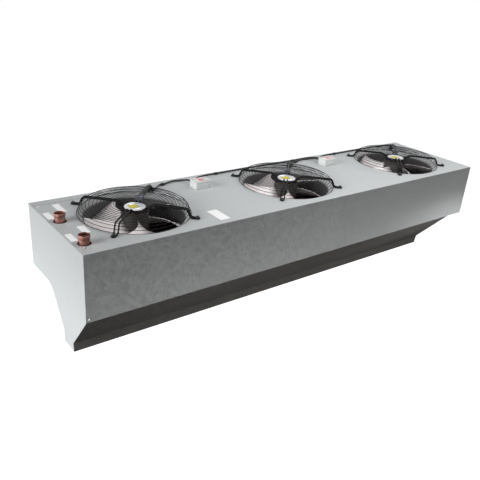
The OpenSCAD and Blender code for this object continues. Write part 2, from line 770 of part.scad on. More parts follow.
module coil_end_plates() color(zinc) for (x = [coil_x0 - t, coil_x1]) {
    half_d = fin_d / 2 + 4;
    lip_x = x < 0 ? x - end_lip_w : x + t;
    along_x(x, x + t) tube_plate(half_d, coil_bottom_z, coil_top_z + 4);
    block([lip_x, -half_d, coil_bottom_z], [lip_x + end_lip_w, half_d, coil_bottom_z + t]);
    block([lip_x, -half_d, coil_top_z + 4 - t], [lip_x + end_lip_w, half_d, coil_top_z + 4]);
}

module coil_rails() color(zinc) for (side = [0, 1]) mirror([0, side, 0]) {
    rail_x0 = coil_x0 - t - end_lip_w;
    rail_x1 = coil_x1 + t + end_lip_w;
    block([rail_x0, y0 + t, coil_bottom_z - t], [rail_x1, y0 + rail_ledge, coil_bottom_z]);
    block([rail_x0, y0 + t, coil_bottom_z - t], [rail_x1, y0 + 2 * t, coil_bottom_z + rail_leg]);
}

// Header across the coil's end, from y_from to y_to, with its pipe up through the top
module header(y_pipe, y_from, y_to, y_feed, y_plug) color(copper) difference() {
    union() {
        translate([pipe_cx, y_from, coil_mid_z]) rotate([-90, 0, 0])
            cylinder(r = header_r, h = y_to - y_from);
        translate([pipe_cx, y_pipe, coil_mid_z]) cylinder(r = pipe_r, h = cup_z + 3 - coil_mid_z);
        translate([pipe_cx, y_pipe, cup_z]) cylinder(r = cup_r, h = pipe_top_z - cup_z);
    }
    translate([pipe_cx, y_from + pipe_wall, coil_mid_z]) rotate([-90, 0, 0])
        cylinder(r = header_r - pipe_wall, h = y_to - y_from - 2 * pipe_wall);
    translate([pipe_cx, y_pipe, coil_mid_z])
        cylinder(r = pipe_r - pipe_wall, h = pipe_top_z - coil_mid_z - 1);
    translate([pipe_cx, y_pipe, pipe_top_z - cup_depth]) cylinder(r = cup_bore_r, h = cup_depth + 1);
    for (z = row_zs) translate([pipe_cx, y_feed, z]) rotate([0, 90, 0])
        cylinder(r = tube_r + tube_fit, h = 2 * header_r);
    translate([pipe_cx, y_plug, coil_mid_z]) rotate([90, 0, 0])
        cylinder(r = plug_r + tube_fit, h = 6 * pipe_wall, center = true);
}

module supply_header()
    header(pipe_front, -header_end_y, pipe_front + pipe_r + 8, column_ys[0], -header_end_y);

module return_header()
    header(pipe_back, pipe_back - pipe_r - 8, header_end_y, column_ys[tube_columns - 1], header_end_y);

module header_plugs() color(brass) for (side = [0, 1]) mirror([0, side, 0])
    translate([pipe_cx, header_end_y, coil_mid_z]) rotate([-90, 0, 0]) {
        cylinder(r = 9, h = 5, $fn = 6);
        translate([0, 0, -6]) cylinder(r = plug_r, h = 7);
    }

// --- Electrical parts ------------------------------------------------------

// Outline of a junction box, all round smaller by an inset
module box_outline(inset = 0) {
    r = box_round - inset;
    translate([inset, inset]) {
        w = box_w - 2 * inset;
        d = box_d - 2 * inset;
        translate([r, 0]) square([w - 2 * r, d]);
        translate([0, r]) square([w, d - 2 * r]);
        for (x = [r, w - r], y = [r, d - r]) translate([x, y]) circle(r);
    }
}

// Places children at the four corner screws of a junction box
module at_box_screws() for (x = [screw_inset, box_w - screw_inset], y = [screw_inset, box_d - screw_inset])
    translate([x, y, 0]) children();

// Places children at the glands of a box, with their axes pointing out of its back
module at_glands(n) for (place = gland_places[n - 1])
    translate([box_xs[n - 1] + box_w / 2 + place * gland_pitch, box_y + box_d, gland_z])
        rotate([-90, 0, 0]) rotate(30) children();

module junction_box(n) color(white) difference() {
    translate([box_xs[n - 1], box_y, 0]) difference() {
        linear_extrude(box_h - lid_h) box_outline();
        difference() {
            translate([0, 0, box_wall]) linear_extrude(box_h) box_outline(box_wall);
            at_box_screws() cylinder(r = 4, h = box_h);
        }
        at_box_screws() translate([0, 0, box_h - lid_h - 12]) cylinder(r = lid_screw_r + tube_fit, h = 20);
    }
    at_glands(n) translate([0, 0, -2 * box_wall])
        cylinder(r = gland_thread_r + tube_fit, h = 3 * box_wall);
}

module junction_lid(n) color(white) translate([box_xs[n - 1], box_y, box_h - lid_h]) difference() {
    linear_extrude(lid_h) box_outline();
    difference() {
        translate([0, 0, -1]) linear_extrude(lid_h - box_wall + 1) box_outline(box_wall);
        at_box_screws() translate([0, 0, -2]) cylinder(r = 5, h = lid_h);
    }
    at_box_screws() translate([0, 0, -1]) {
        cylinder(r = lid_screw_r + 0.3, h = lid_h + 2);
        translate([0, 0, lid_h - 1.5]) cylinder(r = lid_screw_head_r + 0.3, h = 4);
    }
}

module lid_screws() color(steel) for (x = box_xs)
    translate([x, box_y, box_h - 2.5]) at_box_screws() difference() {
        union() {
            cylinder(r = lid_screw_head_r, h = 2.1);
            translate([0, 0, -lid_h - 6]) cylinder(r = lid_screw_r, h = lid_h + 7);
        }
        for (turn = [0, 90]) rotate(turn) translate([-2.4, -0.4, 1.3]) cube([4.8, 0.8, 2]);
    }

module cable_glands() color(white) for (n = boxes) at_glands(n) difference() {
    union() {
        translate([0, 0, -box_wall - 6]) cylinder(r = gland_thread_r, h = box_wall + 7);
        cylinder(r = gland_r, h = 5, $fn = 6);
        translate([0, 0, 5]) cylinder(r = gland_r - 1.4, h = 6);
        translate([0, 0, 11]) cylinder(r1 = gland_r - 1.4, r2 = cable_bore_r + 1.2, h = gland_l - 11);
        translate([0, 0, -box_wall - 3.5]) cylinder(r = gland_r, h = 3.5, $fn = 6);
    }
    translate([0, 0, -box_wall - 7]) cylinder(r = cable_bore_r, h = box_wall + gland_l + 8);
}

// Saddle over a cable that runs along X, standing on a surface at height z
module clip_at(p, z) translate([p[0], p[1], 0]) difference() {
    block([-clip_w / 2, -cable_d / 2 - 4, z], [clip_w / 2, cable_d / 2 + 4, p[2] + cable_d / 2 + 2]);
    translate([0, 0, p[2]]) rotate([0, 90, 0]) cylinder(r = cable_bore_r, h = 2 * clip_w, center = true);
}

module cable_clips() color(black) {
    for (p = panel_clips) clip_at(p, 0);
    for (p = flange_clips) clip_at(p, t);
}

module fan_cable(n) color(black) translate([fan_xs[n - 1], 0, 0])
    swept(concat(arm_points, n == len(fans) ? far_lead : box_lead), cable_d / 2);

module link_cable() color(black) translate([fan_xs[1], 0, 0]) swept(link_lead, cable_d / 2);

module stickers() color(white) {
    for (l = panel_labels) block([x0 + l[0], y0 + l[1], 0], [x0 + l[2], y0 + l[3], label_h]);
    for (x = fan_xs) translate([x, 0, flange_z + flange_h])
        block([hub_label[0], hub_label[1], 0], [hub_label[2], hub_label[3], label_h]);
}

// --- Nodes -----------------------------------------------------------------

top_panel();
front_panel();
back_panel();
left_end_panel();
right_end_panel();
underside_panel();
nozzle_front_plate();
nozzle_rear_plate();
nozzle_end_plate();
partition((fan_xs[0] + fan_xs[1]) / 2);  // partition_1
partition((fan_xs[1] + fan_xs[2]) / 2);  // partition_2
suspension_nuts();
casing_rivets();
for (n = fans) inlet_ring(n);
for (n = fans) guard(n);
guard_bolts();
for (n = fans) motor_flange(n);
for (n = fans) motor_stator(n);
for (n = fans) bearings(n);
for (n = fans) motor_shaft(n);
for (n = fans) rotor_bell(n);
for (n = fans) blades(n);
motor_screws();
terminal_blocks();
coil_fins();
coil_tubes();
coil_end_plates();
coil_rails();
supply_header();
return_header();
header_plugs();
for (n = boxes) junction_box(n);
for (n = boxes) junction_lid(n);
lid_screws();
cable_glands();
cable_clips();
for (n = fans) fan_cable(n);
link_cable();
stickers();
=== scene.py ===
import math

import bpy
from mathutils import Matrix, Vector


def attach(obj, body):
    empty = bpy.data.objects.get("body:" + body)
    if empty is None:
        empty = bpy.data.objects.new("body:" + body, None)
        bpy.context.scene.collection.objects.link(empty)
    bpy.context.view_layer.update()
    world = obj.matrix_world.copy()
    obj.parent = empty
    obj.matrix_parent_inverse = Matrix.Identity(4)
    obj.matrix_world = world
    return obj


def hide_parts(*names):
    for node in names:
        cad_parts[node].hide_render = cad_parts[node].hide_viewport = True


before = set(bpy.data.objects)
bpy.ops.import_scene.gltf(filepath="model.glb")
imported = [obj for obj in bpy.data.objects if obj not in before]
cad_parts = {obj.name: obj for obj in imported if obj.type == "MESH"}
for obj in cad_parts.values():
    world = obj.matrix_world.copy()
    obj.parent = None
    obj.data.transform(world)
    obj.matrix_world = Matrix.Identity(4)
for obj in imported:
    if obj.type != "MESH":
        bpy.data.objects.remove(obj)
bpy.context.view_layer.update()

MM = 0.001
UP = Vector((0, 0, 1))


# --- View ------------------------------------------------------------------
# Seen from the front left and from above, a little more than the casing's length away, with the
# camera slightly rolled, so that the far right end lies high in the frame.
view_azimuth, view_elevation, view_roll = math.radians(-38.92), math.radians(24.67), math.radians(4.43)
view_away = Vector((
    math.sin(view_azimuth) * math.cos(view_elevation),
    -math.cos(view_azimuth) * math.cos(view_elevation),
    math.sin(view_elevation),
))
view_right = UP.cross(view_away).normalized()
view_up = view_away.cross(view_right)
rolled_right = view_right * math.cos(view_roll) + view_up * math.sin(view_roll)
rolled_up = view_up * math.cos(view_roll) - view_right * math.sin(view_roll)
camera = bpy.data.objects.new("camera", bpy.data.cameras.new("camera"))
frame_width, focal_length = 480, 591.5  # both in pixels of the photograph's frame
camera.data.sensor_width = 36
camera.data.lens = camera.data.sensor_width * focal_length / frame_width
camera.data.clip_end = 60
camera_place = (-1.62017, -1.73426, 0.80464)
turned_to_view = Matrix((rolled_right, rolled_up, view_away)).transposed().to_4x4()
camera.matrix_world = Matrix.Translation(camera_place) @ turned_to_view
bpy.context.scene.collection.objects.link(camera)
bpy.context.scene.camera = camera
bpy.context.scene.view_settings.view_transform = "Standard"


# --- Room ------------------------------------------------------------------
# A white floor well under the hanging casing. The main light is a large soft one on the left. Weaker,
# slightly warm ones from the right and from below reach the front, and the air is faintly lit.
class Tone:
    """A value inside a finish. Sums of tones and numbers add Math nodes."""

    def __init__(self, finish, socket):
        self.finish, self.socket = finish, socket

    def worked(self, operation, *values):
        return self.finish.node("Math", {"operation": operation}, dict(enumerate(values)))

    def __add__(self, other):
        return self.worked("ADD", self, other)

    def __sub__(self, other):
        return self.worked("SUBTRACT", self, other)

    def __rsub__(self, other):
        return self.worked("SUBTRACT", other, self)

    def __mul__(self, other):
        return self.worked("MULTIPLY", self, other)

    def __lt__(self, other):
        return self.worked("LESS_THAN", self, other)

    def __gt__(self, other):
        return self.worked("GREATER_THAN", self, other)

    __radd__ = __add__
    __rmul__ = __mul__


class Finish:
    """A material or world made of nodes. node() adds one node and gives back one of its outputs."""

    def __init__(self, owner):
        self.owner = owner
        owner.use_nodes = True
        self.tree = owner.node_tree
        self.tree.nodes.clear()

    def node(self, kind, settings={}, values={}, out=0):
        made = self.tree.nodes.new("ShaderNode" + kind)
        for name, value in settings.items():
            if name == "stops":
                ramp = made.color_ramp.elements
                while len(ramp) < len(value):
                    ramp.new(0.5)
                for stop, (place, colour) in zip(ramp, value):
                    stop.position = place
                    stop.color = (*colour, 1) if hasattr(colour, "__len__") else (colour,) * 3 + (1,)
            else:
                setattr(made, name, value)
        for name, value in values.items():
            if isinstance(value, Tone):
                self.tree.links.new(value.socket, made.inputs[name])
            else:
                socket = made.inputs[name]
                if socket.type == "RGBA" and len(value) == 3:
                    value = (*value, 1)
                socket.default_value = value
        return Tone(self, made.outputs[out]) if made.outputs else None

    def mixed(self, amount, first, second):
        return self.node("Mix", {"data_type": "RGBA"}, {0: amount, 6: first, 7: second}, 2)

    def surfaced(self, values):
        """Ends a material with a surface of these values, and gives it back."""
        self.node("OutputMaterial", {}, {"Surface": self.node("BsdfPrincipled", {}, values)})
        return self.owner


def looked_at(finish):
    """1 for a ray from the eye, straight or through gloss, and 0 for a ray that lights the object."""
    seen = finish.node("LightPath", out="Is Camera Ray")
    for kind in ("Is Glossy Ray", "Is Transmission Ray"):
        seen = seen.worked("MAXIMUM", seen, finish.node("LightPath", out=kind))
    return seen


floor_z, floor_size = -1.75, 400
floor_white = Finish(bpy.data.materials.new("floor_white"))
seen = looked_at(floor_white)
floor_colour = floor_white.mixed(seen, (0.01, 0.01, 0.01), (0.92, 0.92, 0.92))
floor_coat = floor_white.node("BsdfDiffuse", {}, {"Color": floor_colour})
floor_glow = floor_white.node("Emission", {}, {"Color": (1, 1, 1), "Strength": seen * 0.96})
floor_white.node("OutputMaterial", {}, {
    "Surface": floor_white.node("AddShader", {}, {0: floor_coat, 1: floor_glow}),
})
bpy.ops.mesh.primitive_plane_add(size=floor_size, location=(0, 0, floor_z))
floor = bpy.context.object
floor.name = "floor"
floor.data.materials.append(floor_white.owner)

bpy.context.scene.world = bpy.data.worlds.new("room")
air = Finish(bpy.context.scene.world)
faint = 0.06
air_light = air.node("Background", {}, {"Color": (1, 1, 1), "Strength": faint + looked_at(air) * (1 - faint)})
air.node("OutputWorld", {}, {"Surface": air_light})


def hung(name, kind, place, towards, power):
    """A lamp at a place, turned towards a point."""
    lamp = bpy.data.objects.new(name, bpy.data.lights.new(name, kind))
    lamp.data.energy = power
    lamp.location = place
    lamp.rotation_mode = "QUATERNION"
    lamp.rotation_quaternion = (Vector(towards) - Vector(place)).to_track_quat("-Z", "Y")
    bpy.context.scene.collection.objects.link(lamp)
    return lamp


def soft_light(name, place, towards, size, power, tint=(1, 1, 1)):
    """A soft rectangular lamp of a size in metres and a power in watts."""
    lamp = hung(name, "AREA", place, towards, power)
    lamp.data.shape = "RECTANGLE"
    lamp.data.size, lamp.data.size_y = size
    lamp.data.color = tint


soft_light("left_light", (-6.5, 0.1, 2.2), (0, 0, -0.2), (4, 3), 340)
soft_light("right_light", (6.0, -1.9, 1.6), (0.9, -0.2, -0.2), (2, 1.5), 67, (1, 0.985, 0.93))
soft_light("right_top", (3.0, -1.2, 3.0), (0.8, -0.1, 0), (1.5, 1.5), 17)
soft_light("strip_light", (0.4, -0.22, 0.9), (0.4, -0.22, 0), (2.0, 0.3), 7.8)
soft_light("low_light", (0, -0.75, -0.55), (0, -0.235, -0.2), (2, 0.15), 1, (1, 0.96, 0.92))
corner_light = hung("corner_light", "SPOT", (3.0, -0.8, -0.26), (0.92, -0.235, -0.24), 190)
corner_light.data.spot_size, corner_light.data.spot_blend = math.radians(6.5), 1
corner_light.data.shadow_soft_size = 0.06


# --- Casing sheets -----------------------------------------------------------
# Galvanised steel sheets of 1.5 mm, folded at the edges and riveted together: top with fan and
# pipe openings, front with returns round both ends, back with a flange over the top, end panels,
# underside and the tapered nozzle. The zinc is satin, faintly mottled and streaked by rolling.
def zinc_finish(name, tone, dulled=0.0, shine=0.08, painted_light_slope=0.0):
    """Zinc of a tone, duller than the new sheet by dulled, and darker by rise for each metre of height:
    painted light, which makes the sheets lighter towards their bottom.
    """
    zinc = Finish(bpy.data.materials.new(name))
    place = zinc.node("TexCoord", out="Object")
    cloud = zinc.node("TexNoise", {}, {"Vector": place, "Scale": 2.6, "Detail": 3, "Roughness": 0.55})
    rolled = zinc.node("Mapping", {}, {"Vector": place, "Scale": (1.2, 34, 34)})
    streak = zinc.node("TexNoise", {}, {"Vector": rolled, "Scale": 3.5, "Detail": 4, "Roughness": 0.6})
    flake = zinc.node("TexVoronoi", {"feature": "F1"}, {"Vector": place, "Scale": 95}, "Color")
    flake = zinc.node("SeparateColor", {}, {0: flake}, 0)
    grain = zinc.node("TexNoise", {}, {"Vector": place, "Scale": 900, "Detail": 2})
    height = zinc.node("SeparateXYZ", {}, {0: place}, 2)
    # Painted light: the height term makes the sheets lighter towards their bottom, as light falling on the
    # lower front would.
    shade = (cloud - 0.5) * 0.16 + (streak - 0.5) * 0.1 + (flake - 0.5) * 0.03 + 0.5 - height * painted_light_slope
    colour = zinc.node("ValToRGB", {"stops": [
        (0.3, [c * 0.86 for c in tone]), (0.5, tone), (0.85, [min(1, c * 1.35) for c in tone]),
    ]}, {0: shade})
    rough = 0.44 + (streak - 0.5) * 0.16 + (flake - 0.5) * 0.08 + (cloud - 0.5) * 0.1 + dulled
    relief = streak * 0.5 + grain * 0.3 + flake * 0.2
    bump = zinc.node("Bump", {}, {"Strength": 0.07, "Distance": 0.0006, "Height": relief})
    return zinc.surfaced({
        "Base Color": colour, "Roughness": rough, "Metallic": (flake - 0.2) * 0.06 + 0.02, "Normal": bump,
        "Specular IOR Level": shine,
    })


# Painted light: the outer sheets are painted lighter towards their bottom.
sheet_zinc = zinc_finish("sheet_zinc", (0.60, 0.625, 0.635), painted_light_slope=1.2)
# Painted shade: the parts inside the casing get a darker copy of the same zinc.
shaded_inner_zinc = zinc_finish("shaded_inner_zinc", (0.40, 0.41, 0.415), dulled=0.08)
# Painted shade: the nozzle's front plate gets a darker copy of the zinc, without shine, for the shade on its
# downward slope.
shaded_nozzle_zinc = zinc_finish("shaded_nozzle_zinc", (0.275, 0.266, 0.257), dulled=0.1, shine=0.0)


def take_finish(finish, *names):
    for name in names:
        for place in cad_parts[name].material_slots:
            place.material = finish


def picked(part):
    """Makes a part the only one that the next operators act on."""
    bpy.ops.object.select_all(action="DESELECT")
    part.select_set(True)
    bpy.context.view_layer.objects.active = part


def coated(part, finish):
    """Gives a part a finish in place of what it has."""
    part.data.materials.clear()
    part.data.materials.append(finish)
    return part


def round_off(part, finish, width, angle=30, segments=2):
    """Bevels a part's sharp edges, smooths it and gives it its finish."""
    picked(part)
    if width:
        bevel = part.modifiers.new("edges", "BEVEL")
        bevel.width, bevel.segments = width, segments
        bevel.limit_method, bevel.angle_limit = "ANGLE", math.radians(angle)
        bpy.ops.object.modifier_apply(modifier=bevel.name)
    bpy.ops.object.shade_smooth_by_angle(angle=math.radians(angle))
    return coated(part, finish)


def folded_sheet(node, finish):
    """A sheet of the CAD node's shape, with whole faces and with edges that are folded round."""
    part = bpy.data.objects.new(node + "_sheet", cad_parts[node].data.copy())
    bpy.context.scene.collection.objects.link(part)
    picked(part)
    bpy.ops.mesh.customdata_custom_splitnormals_clear()
    bpy.ops.object.mode_set(mode="EDIT")
    bpy.ops.mesh.select_all(action="SELECT")
    bpy.ops.mesh.remove_doubles(threshold=0.00001)
    bpy.ops.mesh.dissolve_limited(angle_limit=math.radians(0.3))
    bpy.ops.object.mode_set(mode="OBJECT")
    round_off(part, finish, 0.0005)
    flat = part.modifiers.new("flat", "WEIGHTED_NORMAL")
    flat.keep_sharp = True
    bpy.ops.object.modifier_apply(modifier=flat.name)
    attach(part, "casing")
    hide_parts(node)


for node in (
    "top_panel", "front_panel", "back_panel", "left_end_panel", "right_end_panel",
    "underside_panel", "nozzle_front_plate", "nozzle_rear_plate", "nozzle_end_plate",
):
    folded_sheet(node, shaded_nozzle_zinc if node == "nozzle_front_plate" else sheet_zinc)
take_finish(shaded_inner_zinc, "partition_1", "partition_2", "coil_end_plates", "coil_rails")


# --- Inlet rings -------------------------------------------------------------
# A spun galvanised ring sits under each opening of the top. Its mouth rolls over into a straight
# throat round the blade tips, and its lower rim is beaded outwards. Below the mouth the ring is
# painted near black, as painted shade in the throat.
fan_places = [Vector((x * MM, 0, 0)) for x in (-705, 4, 713)]


def turned(name, rings, sides=64, closed=False):
    """A body of revolution about Z, drawn out ring by ring from (radius, height) pairs in millimetres."""
    rings = [(r * MM, z * MM) for r, z in rings]
    if closed:
        rings.append(rings[0])
    bpy.ops.mesh.primitive_circle_add(vertices=sides, radius=rings[0][0], location=(0, 0, rings[0][1]))
    part = bpy.context.object
    part.name = name
    bpy.ops.object.mode_set(mode="EDIT")
    bpy.ops.mesh.select_all(action="SELECT")
    if not closed:
        bpy.ops.mesh.edge_face_add()
    for (r0, z0), (r1, z1) in zip(rings, rings[1:]):
        if closed:
            bpy.ops.mesh.extrude_edges_move(TRANSFORM_OT_translate={"value": (0, 0, z1 - z0)})
        else:
            bpy.ops.mesh.extrude_region_move(TRANSFORM_OT_translate={"value": (0, 0, z1 - z0)})
        bpy.ops.transform.resize(value=(r1 / r0, r1 / r0, 1), center_override=(0, 0, z1))
    bpy.ops.mesh.select_all(action="SELECT")
    bpy.ops.mesh.remove_doubles(threshold=0.000002)
    bpy.ops.mesh.normals_make_consistent(inside=False)
    bpy.ops.object.mode_set(mode="OBJECT")
    bpy.ops.object.transform_apply()
    return part


def arc(centre, radius, start, end, steps):
    """Points of an arc, in degrees, as (radius, height) pairs."""
    return [
        (centre[0] + radius * math.cos(math.radians(a)), centre[1] + radius * math.sin(math.radians(a)))
        for a in (start + (end - start) * i / steps for i in range(steps + 1))
    ]


def copied(part, name, place=(0, 0, 0), turn=0.0):
    """A copy of a part with its own mesh, turned about Z and moved to its place."""
    copy = bpy.data.objects.new(name, part.data.copy())
    bpy.context.scene.collection.objects.link(copy)
    copy.data.transform(Matrix.Translation(place) @ Matrix.Rotation(turn, 4, "Z"))
    return copy


def placed(part, spot, turn=0, axis="Z"):
    """Moves a part's mesh to a spot in millimetres, turned first, in degrees, about an axis."""
    turning = Matrix.Rotation(math.radians(turn), 4, axis)
    part.data.transform(Matrix.Translation(Vector(spot) * MM) @ turning)
    return part


def on_each_fan(model, node, ending, body):
    """A copy of a model at each fan, in the place of the CAD nodes of that name."""
    for n, place in enumerate(fan_places, 1):
        piece = copied(model, f"{node}_{n}_{ending}", place)
        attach(piece, body.format(n))
        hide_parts(f"{node}_{n}")
    bpy.data.objects.remove(model)


def joined(parts, name):
    """Several parts as one piece."""
    bpy.ops.object.select_all(action="DESELECT")
    for part in parts:
        part.select_set(True)
    bpy.context.view_layer.objects.active = parts[0]
    bpy.ops.object.join()
    parts[0].name = name
    return parts[0]


ring_zinc = Finish(bpy.data.materials.new("ring_zinc"))
place = ring_zinc.node("TexCoord", out="Object")
grooved = ring_zinc.node("Mapping", {}, {"Vector": place, "Scale": (6, 6, 400)})
spun = ring_zinc.node("TexNoise", {}, {"Vector": grooved, "Scale": 3, "Detail": 3})
height = ring_zinc.node("SeparateXYZ", {}, {0: place}, 2)
# Painted shade: below the mouth the ring's colour turns near black, standing in for the shade deep in its
# throat.
painted_shade_from, painted_shade_full = -9 * MM, -21 * MM
edge = height + (spun - 0.5) * 0.003
depth = ring_zinc.node(
    "MapRange", {"interpolation_type": "SMOOTHSTEP"}, {0: edge, 1: painted_shade_from, 2: painted_shade_full},
)
bare_stops = [(0.3, (0.42, 0.43, 0.435)), (0.7, (0.55, 0.56, 0.565))]
bare = ring_zinc.node("ValToRGB", {"stops": bare_stops}, {0: spun})
ring_zinc.surfaced({
    "Base Color": ring_zinc.mixed(depth, bare, (0.085, 0.084, 0.085)), "Roughness": 0.4 + spun * 0.15,
    "Specular IOR Level": 0.12,
})
roll_centre, roll_r, ring_t = (200, -23.5), 21.9, 1.5
ring_model = turned(
    "inlet_ring",
    [(212, -1.6)] + arc(roll_centre, roll_r, 90, 180, 12)
    + [(178.1, -78), (180, -80), (182, -80.6), (184, -80)]
    + [(184, -78.6), (182, -79), (180.6, -78), (179.6, -75)]
    + arc(roll_centre, roll_r - ring_t, 180, 90, 12) + [(212, -3.1)],
    sides=128, closed=True,
)
round_off(ring_model, ring_zinc.owner, 0)
on_each_fan(ring_model, "inlet_ring", "spun", "casing")


# --- Guards ------------------------------------------------------------------
# Guard of welded steel wire over each fan, powder coated black: thin ring wires under four arms of
# doubled thicker wire, whose bends lie round the foot bolts, on a plate in the middle.
black_coat = Finish(bpy.data.materials.new("guard_black"))
place = black_coat.node("TexCoord", out="Object")
peel = black_coat.node("TexNoise", {}, {"Vector": place, "Scale": 700, "Detail": 2})
dust = black_coat.node("TexNoise", {}, {"Vector": place, "Scale": 22, "Detail": 5, "Roughness": 0.7})
colour = black_coat.node("ValToRGB", {"stops": [
    (0.35, (0.006, 0.006, 0.007)), (0.6, (0.012, 0.012, 0.013)), (0.8, (0.03, 0.03, 0.031)),
]}, {0: dust})
black_coat.surfaced({
    "Base Color": colour, "Roughness": 0.42 + dust * 0.2, "Specular IOR Level": 0.09,
    "Normal": black_coat.node("Bump", {}, {"Strength": 0.12, "Distance": 0.0003, "Height": peel}),
})

arm_wire_r, arm_gap, foot_r, foot_z = 2.75, 13.5, 226, 2.85
ring_wire_r, drawn_ring_r, ring_first, ring_pitch, weld = 1.1, 0.95, 12, 12.2, 0.1
arm_angles = (45, 135, 225, 315)
arm_profile = [(39.5, 16.85), (67, 34), (189, 33), (202, foot_z), (foot_r, foot_z)]


def rounded(path, radius, steps=6):
    """A path with its corners rounded off, as a bent wire has them."""
    path = [Vector(p) for p in path]
    made = [path[0]]
    for before, corner, after in zip(path, path[1:], path[2:]):
        a, b = before - corner, after - corner
        reach = min(radius, a.length * 0.45, b.length * 0.45)
        a, b = corner + a.normalized() * reach, corner + b.normalized() * reach
        shares = [i / steps for i in range(steps + 1)]
        made += [a * (1 - s) ** 2 + corner * 2 * s * (1 - s) + b * s ** 2 for s in shares]
    return made + [path[-1]]


def wire(name, path, radius, sides=3, cyclic=False):
    """A wire or cable of a given radius along points in millimetres, as a mesh."""
    line = bpy.data.curves.new(name, "CURVE")
    line.dimensions = "3D"
    line.bevel_depth, line.bevel_resolution, line.use_fill_caps = radius * MM, sides, not cyclic
    spline = line.splines.new("POLY")
    spline.points.add(len(path) - 1)
    for spot, p in zip(spline.points, path):
        spot.co = (*(Vector(p) * MM), 1)
    spline.use_cyclic_u = cyclic
    drawn = bpy.data.objects.new(name, line)
    bpy.context.scene.collection.objects.link(drawn)
    picked(drawn)
    bpy.ops.object.convert(target="MESH")
    part = bpy.context.object
    bpy.ops.object.shade_smooth_by_angle(angle=math.radians(60))
    return part


def under_line(path, depth):
    """The line that lies below a path of (radius, height) pairs by a depth."""
    made = []
    for i, p in enumerate(path):
        a = (Vector(path[i]) - Vector(path[i - 1])) if i else (Vector(path[1]) - Vector(path[0]))
        b = (Vector(path[i + 1]) - Vector(p)) if i + 1 < len(path) else a
        na, nb = Vector((a.y, -a.x)).normalized(), Vector((b.y, -b.x)).normalized()
        made.append(Vector(p) + (na + nb) * depth / (1 + na.dot(nb)))
    return made


# Line that the ring wires sit on: under the arms, and down to just above the panel
under = under_line(arm_profile, arm_wire_r + ring_wire_r + weld)
low_z = ring_wire_r + 0.4
under[3] = under[2] + (under[3] - under[2]) * (under[2].y - low_z) / (under[2].y - under[3].y)
run = [(b - a).length for a, b in zip(under[:4], under[1:4])]
ring_gaps = round((sum(run) - ring_first) / ring_pitch)
ring_spots = []
for i in range(ring_gaps + 1):
    along, leg = ring_first + i * (sum(run) - ring_first) / ring_gaps, 0
    while leg < 2 and along > run[leg]:
        along -= run[leg]
        leg += 1
    ring_spots.append(under[leg] + (under[leg + 1] - under[leg]) * along / run[leg])

bend = [(foot_r + arm_gap / 2 * math.cos(a), arm_gap / 2 * math.sin(a), foot_z)
        for a in (math.radians(-90 + 15 * i) for i in range(1, 12))]
leg = rounded([Vector((r, 0, z)) for r, z in arm_profile], 9)
hairpin = wire(
    "arm", [p - Vector((0, arm_gap / 2, 0)) for p in leg] + bend
    + [p + Vector((0, arm_gap / 2, 0)) for p in reversed(leg)], arm_wire_r, 3,
)
arms = [copied(hairpin, "arm", turn=math.radians(a)) for a in arm_angles]
bpy.data.objects.remove(hairpin)

wires = []
for spot in ring_spots:
    bpy.ops.mesh.primitive_circle_add(
        vertices=8, radius=drawn_ring_r * MM, location=Vector((spot.x, 0, spot.y)) * MM,
        rotation=(math.radians(90), 0, 0),
    )
    bpy.ops.object.mode_set(mode="EDIT")
    bpy.ops.mesh.select_all(action="SELECT")
    bpy.ops.mesh.spin(steps=112, angle=math.tau, center=(0, 0, 0), axis=(0, 0, 1))
    bpy.ops.mesh.select_all(action="SELECT")
    bpy.ops.mesh.remove_doubles(threshold=0.00002)
    bpy.ops.mesh.normals_make_consistent(inside=False)
    bpy.ops.object.mode_set(mode="OBJECT")
    bpy.ops.object.transform_apply()
    wires.append(bpy.context.object)

# Spot welds where the rings cross the arms
welds = []
bpy.ops.mesh.primitive_uv_sphere_add(segments=8, ring_count=5, radius=1)
bead = bpy.context.object
bead.data.transform(Matrix.Diagonal((2.2 * MM, 2.5 * MM, 1.6 * MM, 1)))
for spot in ring_spots:
    along = math.sqrt(spot.x ** 2 - (arm_gap / 2) ** 2)
    for turn in arm_angles:
        for side in (-1, 1):
            one = placed(copied(bead, "weld"), (along, side * arm_gap / 2, spot.y + ring_wire_r))
            welds.append(placed(one, (0, 0, 0), turn))
bpy.data.objects.remove(bead)

plate_outline = [(19.5, 11), (45, 11), (46, 11.6), (46, 13.4), (45, 14), (19.5, 14)]
plate = turned("plate", plate_outline, 96, closed=True)
guard_model = joined(wires + arms + welds + [plate], "guard_model")
round_off(guard_model, black_coat.owner, 0, 50)
on_each_fan(guard_model, "guard", "wires", "casing")


# --- Foot bolts --------------------------------------------------------------
# Blackened M6 flange bolts hold the guards' feet down: a pressed washer under a chamfered hexagon
# head, through the foot's bend and the top panel into a nut below.
def mottled_finish(name, colours, rough, wide, fine=None, relief=None, coat={}):
    """A finish whose colour follows a wide noise between two stops, as (place, colour). Its gloss, which
    starts at rough[0] and varies by rough[1], and its relief, as (strength, metres), follow a fine noise.
    A noise is (scale, detail) or (scale, detail, roughness), and without a fine one the wide one serves."""
    finish = Finish(bpy.data.materials.new(name))
    place = finish.node("TexCoord", out="Object")
    noises = [
        finish.node("TexNoise", {}, {"Vector": place, **dict(zip(("Scale", "Detail", "Roughness"), noise))})
        for noise in (wide, fine) if noise
    ]
    cloud, grain = noises[0], noises[-1]
    surface = {
        "Base Color": finish.node("ValToRGB", {"stops": colours}, {0: cloud}),
        "Roughness": rough[0] + grain * rough[1],
        **coat,
    }
    if relief:
        values = {"Strength": relief[0], "Distance": relief[1], "Height": grain}
        surface["Normal"] = finish.node("Bump", {}, values)
    return finish.surfaced(surface)


bolt_black = mottled_finish(
    "bolt_black", ((0.4, (0.02, 0.02, 0.022)), (0.75, (0.08, 0.08, 0.085))),
    (0.28, 0.3), (160, 4), relief=(0.1, 0.0002), coat={"Metallic": 0.5},
)

